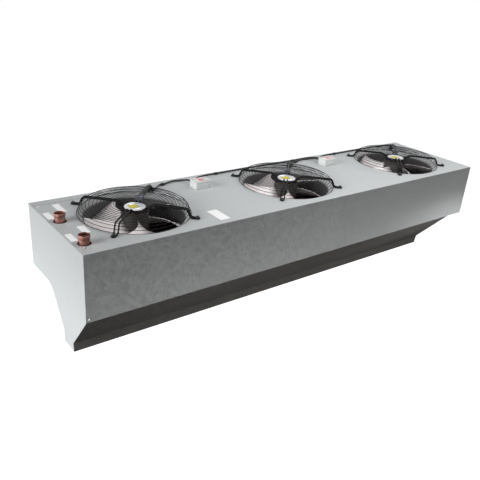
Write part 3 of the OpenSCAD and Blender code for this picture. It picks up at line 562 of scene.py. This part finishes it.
head_z = foot_z + arm_wire_r
flange = turned("flange", [(7.6, head_z), (8, head_z + 0.4), (8, head_z + 1), (6.4, head_z + 1.7)], 40)
hexagon = turned("head", [
    (5.8, head_z + 1.2), (5.8, head_z + 4.9), (5.0, head_z + 5.6), (3.6, head_z + 5.6), (3.2, head_z + 5.2),
], 6)
shank = turned("shank", [(2.5, -9.5), (3, -9), (3, head_z + 0.5)], 24)
nut = turned("nut", [(5.2, -6.5), (5.8, -6), (5.8, -1.6)], 6)
bolt_model = joined([flange, hexagon, shank, nut], "bolt_model")
round_off(bolt_model, bolt_black, 0.00025)
bolts = [
    copied(bolt_model, "bolt", place + Vector((math.cos(a), math.sin(a), 0)) * foot_r * MM, a)
    for place in fan_places for a in map(math.radians, arm_angles)
]
piece = joined(bolts, "guard_bolts_set")
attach(piece, "casing")
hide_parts("guard_bolts")
bpy.data.objects.remove(bolt_model)


# --- Motors ------------------------------------------------------------------
# External-rotor motor in the middle of each fan: a cast aluminium flange with a turned face shows
# on top, screwed to the guard's plate; its sleeve carries bearings, core and windings inside the bell.
cast = mottled_finish(
    "motor_silver", ((0.3, (0.6, 0.61, 0.62)), (0.7, (0.82, 0.83, 0.84))),
    (0.26, 0.2), (40, 3), fine=(380, 4, 0.6), relief=(0.15, 0.0002), coat={"Metallic": 0.85},
)
flange_model = turned("flange_model", [
    (0.2, 12), (11, 12), (11, -62), (12.9, -62), (13.5, -61.4), (13.5, 12.5), (15, 14), (36.6, 14),
    (37.6, 14.6), (38, 15.6), (38, 18.6), (37.4, 19.7), (36.2, 20), (34.6, 20), (33.8, 19.2), (24.2, 19.0),
    (23.4, 19.9), (22.4, 19.9), (21.6, 18.9), (14, 18.6), (13.2, 19.6), (10, 20), (4.2, 20), (3.8, 19.2),
    (0.2, 19.1),
], 96)
screw_r, screw_angles = 28, (22, 112, 202, 292)
screw_spots = [(screw_r * math.cos(a), screw_r * math.sin(a), 0) for a in map(math.radians, screw_angles)]
round_off(flange_model, cast, 0.00015, 25)
on_each_fan(flange_model, "motor_flange", "cast", "casing")

plated = mottled_finish(
    "fastener_steel", ((0.35, (0.4, 0.4, 0.41)), (0.7, (0.62, 0.62, 0.62))),
    (0.24, 0.25), (240, 3), relief=(0.08, 0.0001), coat={"Metallic": 0.9},
)


def cut_out(part, cutter):
    """Takes the cutter's shape out of a part."""
    cut = part.modifiers.new("cut", "BOOLEAN")
    cut.object, cut.operation, cut.solver = cutter, "DIFFERENCE", "EXACT"
    bpy.context.view_layer.objects.active = part
    bpy.ops.object.modifier_apply(modifier=cut.name)
    bpy.data.objects.remove(cutter)


def socket_screw(name, head, sides, depth, shank, top, foot):
    """A pan-head screw with a recess of so many sides in its head, from height foot to height top."""
    pan = joined([
        turned(name, [
            (head * 0.96, top - 2.6), (head, top - 2.2), (head, top - 1), (head * 0.82, top - 0.2),
            (head * 0.6, top),
        ], 24),
        turned(name, [(shank * 0.8, foot), (shank, foot + 0.6), (shank, top - 2.5)], 16),
    ], name)
    cut_out(pan, turned("cutter", [(head * 0.42, top - depth), (head * 0.42, top + 1)], sides))
    return pan


motor_screw = socket_screw("motor_screw", 3.9, 6, 1.4, 2, 20.2, 11)
round_off(motor_screw, plated, 0)
piece = joined([
    copied(motor_screw, "screw", place + Vector(spot) * MM) for place in fan_places for spot in screw_spots
], "motor_screws_set")
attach(piece, "casing")
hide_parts("motor_screws")
bpy.data.objects.remove(motor_screw)

# Ground steel of shafts and bearings
ground = Finish(bpy.data.materials.new("ground_steel"))
place = ground.node("TexCoord", out="Object")
grooved = ground.node("Mapping", {}, {"Vector": place, "Scale": (20, 20, 900)})
turning = ground.node("TexNoise", {}, {"Vector": grooved, "Scale": 3})
steel_stops = [(0.3, (0.5, 0.5, 0.51)), (0.7, (0.66, 0.66, 0.67))]
ground.surfaced({
    "Base Color": ground.node("ValToRGB", {"stops": steel_stops}, {0: turning}),
    "Roughness": 0.18 + turning * 0.2, "Metallic": 1.0,
})
take_finish(ground.owner, *(f"{part}_{n}" for part in ("bearings", "motor_shaft") for n in (1, 2, 3)))

# Core of thin dark plates between lacquered copper end turns
wound = Finish(bpy.data.materials.new("winding_copper"))
place = wound.node("TexCoord", out="Object")
height = wound.node("SeparateXYZ", {}, {0: place}, 2)
waves = {"Vector": place, "Scale": 420, "Distortion": 2.5}
strand = wound.node("TexWave", {"bands_direction": "Z"}, waves, "Fac")
core_low, core_high = -50.5 * MM, -14.5 * MM
core = (height > core_low) * (height < core_high)
lacquer, plates = (wound.node("ValToRGB", {"stops": stops}, {0: strand}) for stops in (
    [(0.2, (0.25, 0.08, 0.03)), (0.7, (0.62, 0.27, 0.12))],
    [(0.3, (0.05, 0.05, 0.055)), (0.7, (0.2, 0.2, 0.21))],
))
wound.surfaced({
    "Base Color": wound.mixed(core, lacquer, plates), "Roughness": 0.3 + strand * 0.2, "Metallic": 0.6,
    "Normal": wound.node("Bump", {}, {"Strength": 0.4, "Distance": 0.0004, "Height": strand}),
})
take_finish(wound.owner, *(f"motor_stator_{n}" for n in (1, 2, 3)))


# --- Impellers ---------------------------------------------------------------
# Five broad sickle blades of bare pressed aluminium, welded round the motor's black rotor bell. Each
# blade is a thin sheet, twisted and swept forward, with rounded edges.
blade_metal = Finish(bpy.data.materials.new("blade_metal"))
place = blade_metal.node("TexCoord", out="Object")
peel = blade_metal.node("TexNoise", {}, {"Vector": place, "Scale": 160, "Detail": 2})
dust = blade_metal.node("TexNoise", {}, {"Vector": place, "Scale": 9, "Detail": 6, "Roughness": 0.65})
sheet_stops = [(0.35, (0.6, 0.56, 0.555)), (0.7, (0.72, 0.68, 0.675))]
blade_metal.surfaced({
    "Base Color": blade_metal.node("ValToRGB", {"stops": sheet_stops}, {0: dust}),
    "Roughness": 0.5 + dust * 0.12, "Metallic": 0.8,
    "Normal": blade_metal.node("Bump", {}, {"Strength": 0.05, "Distance": 0.0005, "Height": peel}),
})

bell_r, tip_r, blade_t, blade_top, blade_count, fan_turns = 49, 175, 2, -17, 5, (66, 50, 4)
root_r, blade_share, blade_sweep, blade_fall, blade_camber = bell_r - 0.4, 0.86, 26, 58, 7
blade_pitch = 360 / blade_count


def blade_spot(s, c):
    """Middle of the blade's sheet: s runs from root to tip, c from the trailing to the leading edge."""
    r = root_r + s * (tip_r - root_r)
    width = blade_pitch * blade_share * (1 - 0.14 * s ** 6 - 0.1 * (1 - s) ** 2)
    angle = math.radians(blade_sweep * s ** 1.7 + width * (c - 0.5))
    fall = blade_fall * (0.86 + 0.14 * s) * (1 - c) + blade_camber * math.sin(math.pi * c)
    return Vector((r * math.cos(angle), -r * math.sin(angle), blade_top - blade_t / 2 - fall)) * MM


bpy.ops.mesh.primitive_grid_add(x_subdivisions=20, y_subdivisions=20, size=1, location=(0.5, 0.5, 0))
blade_model = bpy.context.object
bpy.ops.object.transform_apply()
for corner in blade_model.data.vertices:
    corner.co = blade_spot(corner.co.x, corner.co.y)
thick = blade_model.modifiers.new("sheet", "SOLIDIFY")
thick.thickness, thick.offset = blade_t * MM, 0
bpy.ops.object.modifier_apply(modifier=thick.name)
round_off(blade_model, blade_metal.owner, 0.0007, 40, 3)
for n, (place, turn) in enumerate(zip(fan_places, fan_turns), 1):
    turns = [math.radians(turn + blade_pitch * k) for k in range(blade_count)]
    blades = [copied(blade_model, "blade", place, a) for a in turns]
    piece = joined(blades, f"blades_{n}_pressed")
    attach(piece, f"impeller_{n}")
    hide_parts(f"blades_{n}")
bpy.data.objects.remove(blade_model)

bell_coat = mottled_finish(
    "bell_black", ((0.35, (0.085, 0.075, 0.072)), (0.75, (0.16, 0.145, 0.14))),
    (0.45, 0.2), (20, 5, 0.7), fine=(420, 3), relief=(0.15, 0.0003), coat={"Specular IOR Level": 0.2},
)
bell_corner, bell_wall = (41, -78), 3
bell_model = turned(
    "bell_model",
    [(4, -86), (8, -86)] + arc(bell_corner, 8, -90, 0, 6)
    + [(bell_r, -20), (49.3, -19), (49.3, -16), (bell_r, -15), (bell_r, 5), (48, 6), (46.6, 6), (46, 5.4)]
    + [(46, -74)] + arc(bell_corner, 8 - bell_wall, 0, -90, 5)
    + [(12, -83), (10, -81), (10, -68), (9, -67.4), (4, -67.4)],
    96, closed=True,
)
round_off(bell_model, bell_coat, 0)
on_each_fan(bell_model, "rotor_bell", "cup", "impeller_{}")


# --- Motor terminal housings -------------------------------------------------
# A moulded grey housing sits over one arm of each guard, next to the motor's flange: a lid with
# ribs, clamped down by two screws. The motor's cable leaves it along the arm.
moulded_grey = mottled_finish(
    "terminal_grey", ((0.35, (0.035, 0.037, 0.055)), (0.7, (0.075, 0.08, 0.105))),
    (0.38, 0.2), (30, 3), fine=(1100, 3), relief=(0.15, 0.0002),
)


def moulded_block(name, low, high, edge, steps=2):
    """A block between two corners in millimetres, with rounded edges."""
    low, high = Vector(low) * MM, Vector(high) * MM
    bpy.ops.mesh.primitive_cube_add(size=1, location=(low + high) / 2, scale=high - low)
    part = bpy.context.object
    part.name = name
    bpy.ops.object.transform_apply()
    if edge:
        bpy.ops.object.mode_set(mode="EDIT")
        bpy.ops.mesh.select_all(action="SELECT")
        bpy.ops.mesh.bevel(offset=edge * MM, segments=steps, affect="EDGES")
        bpy.ops.object.mode_set(mode="OBJECT")
    return part


housing = [
    moulded_block("base", (40, -13, 28.2), (69.7, 13, 36.6), 0.8),
    moulded_block("side", (40, -13, 14.2), (46.5, -10.4, 29), 0.7),
    moulded_block("side", (40, 10.4, 14.2), (46.5, 13, 29), 0.7),
    moulded_block("core", (40.4, -3.4, 14.2), (46.4, 3.4, 29), 0.8),
    moulded_block("lid", (40, -13.1, 36.9), (69.8, 13.1, 40.2), 1.2, 3),
]
housing += [moulded_block("rib", (x, -10, 39.8), (x + 1.2, 10, 40.9), 0.4) for x in (50, 53.6, 57.2, 60.8)]
housing_model = joined(housing, "housing_model")
round_off(housing_model, moulded_grey, 0)
housing_screw = socket_screw("housing_screw", 2.3, 6, 0.9, 1.1, 41, 33.6)
round_off(housing_screw, plated, 0)
housing_model.data.materials.append(plated)
clamp_spots = ((44, -9.5, 0), (65.8, 9.5, 0))
housing_parts = [housing_model] + [copied(housing_screw, "clamp", Vector(spot) * MM) for spot in clamp_spots]
cable_arm = math.radians(arm_angles[0])
piece = joined([
    copied(part, "housing", place, cable_arm) for place in fan_places for part in housing_parts
], "terminal_blocks_set")
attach(piece, "casing")
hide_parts("terminal_blocks")
for part in housing_parts + [housing_screw]:
    bpy.data.objects.remove(part)


# --- Heating coil ------------------------------------------------------------
# Thin bright fins, tinted by the copper between them, are pressed on two rows of copper tubes that
# run the casing's whole length under the fans, with return bends at both ends.
fin_metal = mottled_finish(
    "fin_metal", ((0.3, (0.56, 0.43, 0.41)), (0.7, (0.8, 0.66, 0.63))),
    (0.3, 0.2), (14, 5, 0.65), fine=(260, 2), relief=(0.2, 0.0003), coat={"Metallic": 0.75},
)

copper = Finish(bpy.data.materials.new("tube_copper"))
place = copper.node("TexCoord", out="Object")
tarnish = copper.node("TexNoise", {}, {"Vector": place, "Scale": 38, "Detail": 6, "Roughness": 0.7})
pulled = copper.node("Mapping", {}, {"Vector": place, "Scale": (300, 300, 30)})
drawn = copper.node("TexNoise", {}, {"Vector": pulled, "Scale": 2.0, "Detail": 2})
copper_tone = copper.node("ValToRGB", {"stops": [
    (0.28, (0.09, 0.035, 0.03)), (0.5, (0.27, 0.125, 0.105)), (0.72, (0.56, 0.32, 0.28)),
]}, {0: tarnish * 0.8 + drawn * 0.2})
copper.surfaced({
    "Base Color": copper_tone, "Roughness": 0.22 + tarnish * 0.3, "Metallic": 0.92,
    "Normal": copper.node("Bump", {}, {"Strength": 0.12, "Distance": 0.0002, "Height": drawn}),
})

fin_t, fin_d, fin_low, fin_high, fin_from, fin_to, fin_step = 0.25, 410, -212, -150, -885, 885, 3.0
bpy.ops.mesh.primitive_cube_add(
    size=1, location=(fin_from * MM, 0, (fin_low + fin_high) / 2 * MM),
    scale=Vector((fin_t, fin_d, fin_high - fin_low)) * MM,
)
fins = bpy.context.object
bpy.ops.object.transform_apply()
row = fins.modifiers.new("row", "ARRAY")
row.use_relative_offset, row.use_constant_offset = False, True
row.constant_offset_displace = (fin_step * MM, 0, 0)
row.count = int((fin_to - fin_from) / fin_step) + 1
bpy.ops.object.modifier_apply(modifier=row.name)
fins.name = "coil_fins_pack"
fins.data.materials.append(fin_metal)
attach(fins, "casing")
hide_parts("coil_fins")
take_finish(copper.owner, "coil_tubes")


# --- Headers and pipe ends -----------------------------------------------------
# Supply and return header of copper tube across the coil's end, each with domed caps and a riser
# that passes through a clear hole in the top and ends in a belled mouth for soldering.
pipe_x, header_z, pipe_r, header_end = -962.5, -181, 17.5, 196
last_tube_y, tube_rows = 180, (-170, -192)


def header(name, pipe_y, y_from, y_to, feed_y):
    """A header from y_from to y_to, with its riser at pipe_y and a collar for each tube row at feed_y."""
    span = y_to - y_from
    body = turned("body", [
        (2, 0), (9, 0.6), (15, 2.2), (18.6, 5.6), (20, 10),
        (20, span - 10), (18.6, span - 5.6), (15, span - 2.2), (9, span - 0.6), (2, span),
    ], 48)
    placed(body, (pipe_x, y_from, header_z), -90, "X")
    fillet = [(0, 12), (3.2, 17), (2.6, 20.5), (0.5, 24), (0, 27)]
    mouth = [
        (0, 15.2), (-0.2, 16.6), (0.1, 17.6), (1.1, 19.2), (1.3, 20.6), (1.3, 28.6), (1.25, 29.4),
        (0.9, 29.95), (0.4, 29.95), (0.12, 29.4), (0.1, 18.2), (-0.6, 17.8), (-1.4, 17),
        (-1.4, header_z + 12),
    ]
    outline = [(pipe_r + out, z) for out, z in [(out, header_z + up) for out, up in fillet] + mouth]
    riser = placed(turned("riser", outline, 72, closed=True), (pipe_x, pipe_y, 0))
    collar = [(5.2, 13), (7.4, 17.2), (7, 19.6), (5.6, 21.4), (5.0, 22.2)]
    collars = [placed(turned("collar", collar, 24), (pipe_x, feed_y, z), 90, "Y") for z in tube_rows]
    piece = joined([body, riser] + collars, name + "_brazed")
    round_off(piece, copper.owner, 0, 35)
    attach(piece, "casing")
    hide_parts(name)


header("supply_header", -159, -header_end, -133.5, -last_tube_y)
header("return_header", 36, 10.5, header_end, last_tube_y)

brass = mottled_finish(
    "plug_brass", ((0.3, (0.42, 0.3, 0.11)), (0.7, (0.68, 0.53, 0.24))),
    (0.2, 0.25), (120, 4), coat={"Metallic": 1.0},
)
plugs = []
for side in (-1, 1):
    plug = turned("plug", [(5, -6), (5, 0), (6.5, 0.2), (7.8, 0.8)], 32)
    cap = turned("cap", [(8.6, 0.4), (9, 0.9), (9, 4.1), (8.2, 5)], 6)
    plug = joined([plug, cap], "plug")
    plugs.append(placed(plug, (pipe_x, side * header_end, header_z), -90 * side, "X"))
piece = joined(plugs, "header_plugs_set")
round_off(piece, brass, 0.0003)
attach(piece, "casing")
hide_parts("header_plugs")


# --- Junction boxes ------------------------------------------------------------
# White moulded boxes on the top, near the back edge: a body with knock-outs in its sides, a lid
# held by four sunk screws, with a plain red patch on it, and grey glands for the cables at the back.
moulded_white = mottled_finish(
    "box_white", ((0.3, (0.74, 0.76, 0.74)), (0.7, (0.86, 0.87, 0.86))),
    (0.42, 0.12), (18, 4), fine=(1300, 2), relief=(0.1, 0.0002),
)
patch_red = mottled_finish(
    "patch_red", ((0.3, (0.66, 0.16, 0.2)), (0.7, (0.78, 0.27, 0.31))), (0.35, 0.1), (60, 3),
)
gland_grey = mottled_finish(
    "gland_grey", ((0.3, (0.32, 0.33, 0.33)), (0.7, (0.42, 0.43, 0.43))),
    (0.4, 0.15), (700, 2), relief=(0.1, 0.0002),
)

box_w, box_d, box_h, lid_h, box_y, box_wall, box_xs = 72, 50, 31, 8, 84, 2.5, (-392, 317)
screw_inset, knockout_z = 8, 11.5


def hollow_box(name, low_z, high_z, wall_z, open_down):
    """A rounded shell, open on one side: body or lid of a junction box, its corner at the origin."""
    height = high_z - low_z
    part = moulded_block(name, (0, 0, low_z), (box_w, box_d, high_z), 0)
    bpy.ops.object.mode_set(mode="EDIT")
    bpy.ops.mesh.select_mode(type="EDGE")
    bpy.ops.mesh.select_all(action="DESELECT")
    bpy.ops.object.mode_set(mode="OBJECT")
    for edge in part.data.edges:
        a, b = (part.data.vertices[v].co for v in edge.vertices)
        edge.select = abs(a.z - b.z) > 1e-6
    bpy.ops.object.mode_set(mode="EDIT")
    bpy.ops.mesh.bevel(offset=5 * MM, segments=5, affect="EDGES")
    bpy.ops.mesh.select_mode(type="FACE")
    bpy.ops.mesh.select_all(action="DESELECT")
    bpy.ops.object.mode_set(mode="OBJECT")
    facing = -1 if open_down else 1
    for face in part.data.polygons:
        face.select = face.normal.z * facing > 0.9
    bpy.ops.object.mode_set(mode="EDIT")
    bpy.ops.mesh.inset(thickness=box_wall * MM, depth=0)
    sunk = -facing * (height - wall_z) * MM
    bpy.ops.mesh.extrude_region_move(TRANSFORM_OT_translate={"value": (0, 0, sunk)})
    bpy.ops.object.mode_set(mode="OBJECT")
    return part


box_body = hollow_box("box_body", 0, box_h - lid_h - 0.25, 2.5, False)
round_off(box_body, moulded_white, 0.0006, 50)
inset_xs, inset_ys = ((screw_inset, side - screw_inset) for side in (box_w, box_d))
corners = [(x, y, 0) for x in inset_xs for y in inset_ys]
post_outline = [(4, 1), (4, 22.6), (1.7, 22.7), (1.6, 14)]
box_posts = [coated(placed(turned("post", post_outline, 24), spot), moulded_white) for spot in corners]
knockout = [
    (8.6, -0.6), (8.6, 0.42), (8.2, 0.6), (7.4, 0.6), (7.0, 0.2), (5.4, 0.2), (5.0, 0.5), (4.4, 0.5),
    (4.0, 0.15),
]
rings = []
for x, y, turn, axis in ((20, 0, 90, "X"), (52, 0, 90, "X"), (0, 25, -90, "Y"), (box_w, 25, 90, "Y")):
    ring = placed(turned("knockout", knockout, 32), (x, y, knockout_z), turn, axis)
    rings.append(round_off(ring, moulded_white, 0))
box_model = joined([box_body] + box_posts + rings, "box_model")

lid_model = hollow_box("lid_model", box_h - lid_h + 0.15, box_h, 2.5, True)
round_off(lid_model, moulded_white, 0.0011, 50, 3)
for spot in corners:
    cut_out(lid_model, placed(turned("cutter", [(3.9, box_h - 1.7), (3.9, box_h + 1)], 28), spot))

patch_model = moulded_block("patch_model", (25, 12, box_h - 0.4), (47, 38, box_h + 0.15), 0.08, 1)
coated(patch_model, patch_red)

lid_screw = socket_screw("lid_screw", 3.3, 4, 1.2, 1.5, box_h - 0.4, 15)
round_off(lid_screw, plated, 0)
screws = []
for n, x0 in enumerate(box_xs, 1):
    corner_at = Vector((x0, box_y, 0)) * MM
    piece = copied(box_model, f"junction_box_{n}_body", corner_at)
    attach(piece, "casing")
    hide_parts(f"junction_box_{n}")
    cover = [copied(lid_model, "lid", corner_at), copied(patch_model, "patch", corner_at)]
    piece = joined(cover, f"junction_lid_{n}_cover")
    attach(piece, "casing")
    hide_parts(f"junction_lid_{n}")
    for k, spot in enumerate(corners):
        screws.append(copied(lid_screw, "screw", corner_at + Vector(spot) * MM, 0.4 * k))
piece = joined(screws, "lid_screws_set")
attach(piece, "casing")
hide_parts("lid_screws")
for part in (box_model, lid_model, patch_model, lid_screw):
    bpy.data.objects.remove(part)

gland_z, gland_pitch, cable_r = 13, 16, 3.5
gland_model = joined([
    turned("nut", [(7.7, 0), (8, 0.4), (8, 4.6), (7.5, 5)], 6),
    turned("neck", [(6, -8), (6, 0.5)], 40),
    turned("dome", [
        (6.2, 4.8), (6.3, 10.4), (6.2, 11.6), (5.8, 14), (5.2, 16.6), (4.8, 17.6), (4.2, 18), (3.6, 17.6),
    ], 40),
    turned("lock", [(7.7, -6), (8, -5.6), (8, -2.9), (7.8, -2.6)], 6),
], "gland_model")
grips = [moulded_block("grip", (5.9, -0.4, 5.4), (6.7, 0.4, 10.4), 0.2, 1) for _ in range(12)]
for k, grip in enumerate(grips):
    placed(grip, (0, 0, 0), 30 * k)
gland_model = joined([gland_model] + grips, "gland_model")
round_off(gland_model, gland_grey, 0)
placed(gland_model, (0, 0, 0), 30)
glands = []
for x0, steps in zip(box_xs, ((-1, 1), (-1, 0, 1))):
    for step in steps:
        spot = (x0 + box_w / 2 + step * gland_pitch, box_y + box_d, gland_z)
        glands.append(placed(copied(gland_model, "gland"), spot, -90, "X"))
piece = joined(glands, "cable_glands_set")
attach(piece, "casing")
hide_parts("cable_glands")
bpy.data.objects.remove(gland_model)


# --- Cables ----------------------------------------------------------------
# Black sheathed cables, fixed wiring: each motor's lead runs up an arm of its guard and over to a
# junction box, and a link cable joins the two boxes. Black saddles hold them down.
sheath = mottled_finish(
    "cable_black", ((0.35, (0.014, 0.014, 0.015)), (0.75, (0.035, 0.035, 0.036))),
    (0.42, 0.15), (30, 4), fine=(420, 3), relief=(0.15, 0.0002), coat={"Specular IOR Level": 0.25},
)

arm_lead = [
    (70.2, 35.2), (76.8, 35.5), (85, 35.8), (95, 35.8), (140, 35.3), (183, 34.8), (192, 32.5), (197, 24),
    (201, 16.5), (206, 12),
]
arm_points = [(r * math.sqrt(0.5), r * math.sqrt(0.5), z) for r, z in arm_lead]
box_lead = [
    (157, 146, 10.5), (172, 154, 8.6), (190, 172, 6), (204, 187, 4.2), (214, 192, 4), (232, 192, 4),
    (248, 196, 5.4), (272, 203, 5.6), (298, 201, 5.8), (318, 190, 8), (330, 175, 11.5), (333, 162, 13),
    (333, 126, 13),
]
far_lead = [
    (157, 146, 10.5), (172, 151, 9), (190, 158, 7.4), (206, 168, 6.4), (212, 183, 6), (203, 197, 5.8),
    (184, 205, 5.7), (150, 208, 5.6), (70, 211, 5.6), (-10, 212, 5.6), (-90, 210, 5.6),
    (-170, 208.5, 5.6), (-205, 208, 5.6), (-223, 208, 5.6), (-262, 207, 5.6), (-292, 203, 5.8),
    (-317, 194, 7.2), (-334, 179, 10.5), (-344, 163, 13), (-344, 126, 13),
]
link_lead = [
    (-344, 126, 13), (-344, 163, 13), (-334, 179, 10.5), (-317, 194, 7.2), (-292, 203, 5.8),
    (-262, 207, 5.6), (-226, 208, 5.6), (-208, 208, 5.6), (-140, 209, 5.6), (-60, 211, 5.6), (30, 212, 5.6),
    (120, 210, 5.6), (211, 208, 5.6), (229, 208, 5.6), (255, 211.5, 5.6), (285, 213.5, 5.8),
    (312, 211, 6.6), (334, 200, 8.8), (346, 183, 11.8), (349, 166, 13), (349, 126, 13),
]


def flowing(points, steps=6):
    """A smooth line through all the points."""
    points = [Vector(p) for p in points]
    padded = [2 * points[0] - points[1]] + points + [2 * points[-1] - points[-2]]
    made = []
    for p0, p1, p2, p3 in zip(padded, padded[1:], padded[2:], padded[3:]):
        d = [max((b - a).length, 1e-6) ** 0.5 for a, b in ((p0, p1), (p1, p2), (p2, p3))]
        m1 = (p2 - p1) + ((p1 - p0) / d[0] - (p2 - p0) / (d[0] + d[1])) * d[1]
        m2 = (p2 - p1) + ((p3 - p2) / d[2] - (p3 - p1) / (d[1] + d[2])) * d[1]
        for t in (k / steps for k in range(steps)):
            near = p1 * (2 * t ** 3 - 3 * t ** 2 + 1) + m1 * (t ** 3 - 2 * t ** 2 + t)
            made.append(near + p2 * (3 * t ** 2 - 2 * t ** 3) + m2 * (t ** 3 - t ** 2))
    return made + [points[-1]]


routes = {f"fan_cable_{n}": (n, arm_points + (far_lead if n == 3 else box_lead)) for n in (1, 2, 3)}
routes["link_cable"] = (2, link_lead)
for name, (n, route) in routes.items():
    piece = wire(name + "_sheath", flowing([Vector(p) + fan_places[n - 1] / MM for p in route]), cable_r, 4)
    coated(piece, sheath)
    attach(piece, "casing")
    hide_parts(name)

fan_1_x, fan_2_x, fan_3_x = (place.x / MM for place in fan_places)
clip_spots = [
    (fan_1_x + 223, 192, 4, 0), (fan_2_x + 223, 192, 4, 0),
    (fan_2_x - 217, 208, 5.6, 1.5), (fan_2_x + 220, 208, 5.6, 1.5), (fan_3_x - 214, 208, 5.6, 1.5),
]
bow_outline = [(3.6, -6), (5.4, -6), (5.6, -5.6), (5.6, 5.6), (5.4, 6), (3.6, 6)]
clips = []
for x, y, z, foot in clip_spots:
    parts = [placed(turned("bow", bow_outline, 28, closed=True), (x, y, z), 90, "Y")]
    for side in (-1, 1):
        low, high = sorted((y + side * 3.7, y + side * 7.5))
        parts.append(moulded_block("ear", (x - 6, low, foot + 0.05), (x + 6, high, foot + 2.4), 0.5))
        nail = turned("nail", [(1.4, foot + 2.2), (1.4, foot + 2.9), (0.9, foot + 3.2)], 16)
        parts.append(placed(nail, (x, y + side * 6.2, 0)))
    clips.append(joined(parts, "clip"))
piece = joined(clips, "cable_clips_set")
round_off(piece, sheath, 0)
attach(piece, "casing")
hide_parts("cable_clips")


# --- Labels --------------------------------------------------------------------
# Blank paper labels stuck on the top panel by the pipe ends and behind the front edge, and a plain
# yellow one on each motor flange.
# Painted light: the white labels are given a faint glow of their own.
paper_painted_glow = mottled_finish(
    "label_white", ((0.3, (0.92, 0.93, 0.93)), (0.7, (0.97, 0.97, 0.97))),
    (0.45, 0.15), (25, 3), fine=(500, 4), relief=(0.08, 0.0001),
    coat={"Emission Color": (1, 1, 1), "Emission Strength": 0.14},
)
yellow = mottled_finish(
    "label_yellow", ((0.3, (0.62, 0.52, 0.02)), (0.7, (0.78, 0.68, 0.07))), (0.34, 0.12), (60, 4),
)

label_t, top_left, top_front, flange_top = 0.2, -1000, -235, 20


def label(left, front, right, back, z, finish, corner=2.0):
    """A thin label with round corners, lying at height z."""
    middle = Vector(((left + right) / 2, (front + back) / 2, z)) * MM
    bpy.ops.mesh.primitive_plane_add(size=1, location=middle)
    part = bpy.context.object
    part.scale = ((right - left) * MM, (back - front) * MM, 1)
    bpy.ops.object.transform_apply()
    bpy.ops.object.mode_set(mode="EDIT")
    bpy.ops.mesh.select_all(action="SELECT")
    bpy.ops.mesh.bevel(offset=corner * MM, segments=4, affect="VERTICES")
    bpy.ops.mesh.select_all(action="SELECT")
    bpy.ops.mesh.extrude_region_move(TRANSFORM_OT_translate={"value": (0, 0, label_t * MM)})
    bpy.ops.mesh.select_all(action="SELECT")
    bpy.ops.mesh.normals_make_consistent(inside=False)
    bpy.ops.object.mode_set(mode="OBJECT")
    return coated(part, finish)


labels = [
    label(top_left + a, top_front + b, top_left + c, top_front + d, 0, paper_painted_glow) for a, b, c, d in (
        (8, 104, 29, 163), (66, 145, 91, 205), (10, 298, 32, 360), (66, 340, 90, 420), (522, 28, 563, 118),
    )
]
labels += [label(x - 20, -14, x + 9, 17, flange_top, yellow, 1.5) for x in (fan_1_x, fan_2_x, fan_3_x)]
piece = joined(labels, "stickers_set")
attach(piece, "casing")
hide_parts("stickers")


# --- Suspension nuts and rivets ---------------------------------------------------
# Threaded rivet nuts in the top's corners take the hanging rods, and blind rivets near the ends
# hold the front panel to the nozzle's front plate.
nut_outline = [
    (4, -17.4), (5.2, -17.5), (5.5, -17.1), (5.5, -1.7), (5.5, 0), (7.4, 0.02), (8, 0.35), (7.9, 0.75),
    (7.2, 1), (4.6, 1), (4.0, 0.5),
] + [(4.0 if k % 2 else 3.55, -0.4 - 0.6 * k) for k in range(27)]
nuts = [
    placed(turned("nut", nut_outline, 32, closed=True), (x, y, 0)) for x in (-980, 980) for y in (-190, 190)
]
piece = joined(nuts, "suspension_nuts_set")
round_off(piece, plated, 0, 40)
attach(piece, "casing")
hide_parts("suspension_nuts")

rivet_metal = mottled_finish(
    "rivet_metal", ((0.3, (0.55, 0.56, 0.57)), (0.7, (0.75, 0.76, 0.77))),
    (0.25, 0.2), (300, 3), coat={"Metallic": 0.8},
)
rivet_outline = [
    (1.4, -4), (2.1, -3.7), (1.6, -3), (1.6, 0), (3.1, 0.02), (3.2, 0.3), (2.6, 0.95), (1.6, 1.35),
    (0.9, 1.4), (0.8, 0.6),
]
rivets = [placed(turned("rivet", rivet_outline, 32), (x, top_front, -227), 90, "X") for x in (-990, 990)]
piece = joined(rivets, "casing_rivets_set")
round_off(piece, rivet_metal, 0, 40)
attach(piece, "casing")
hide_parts("casing_rivets")
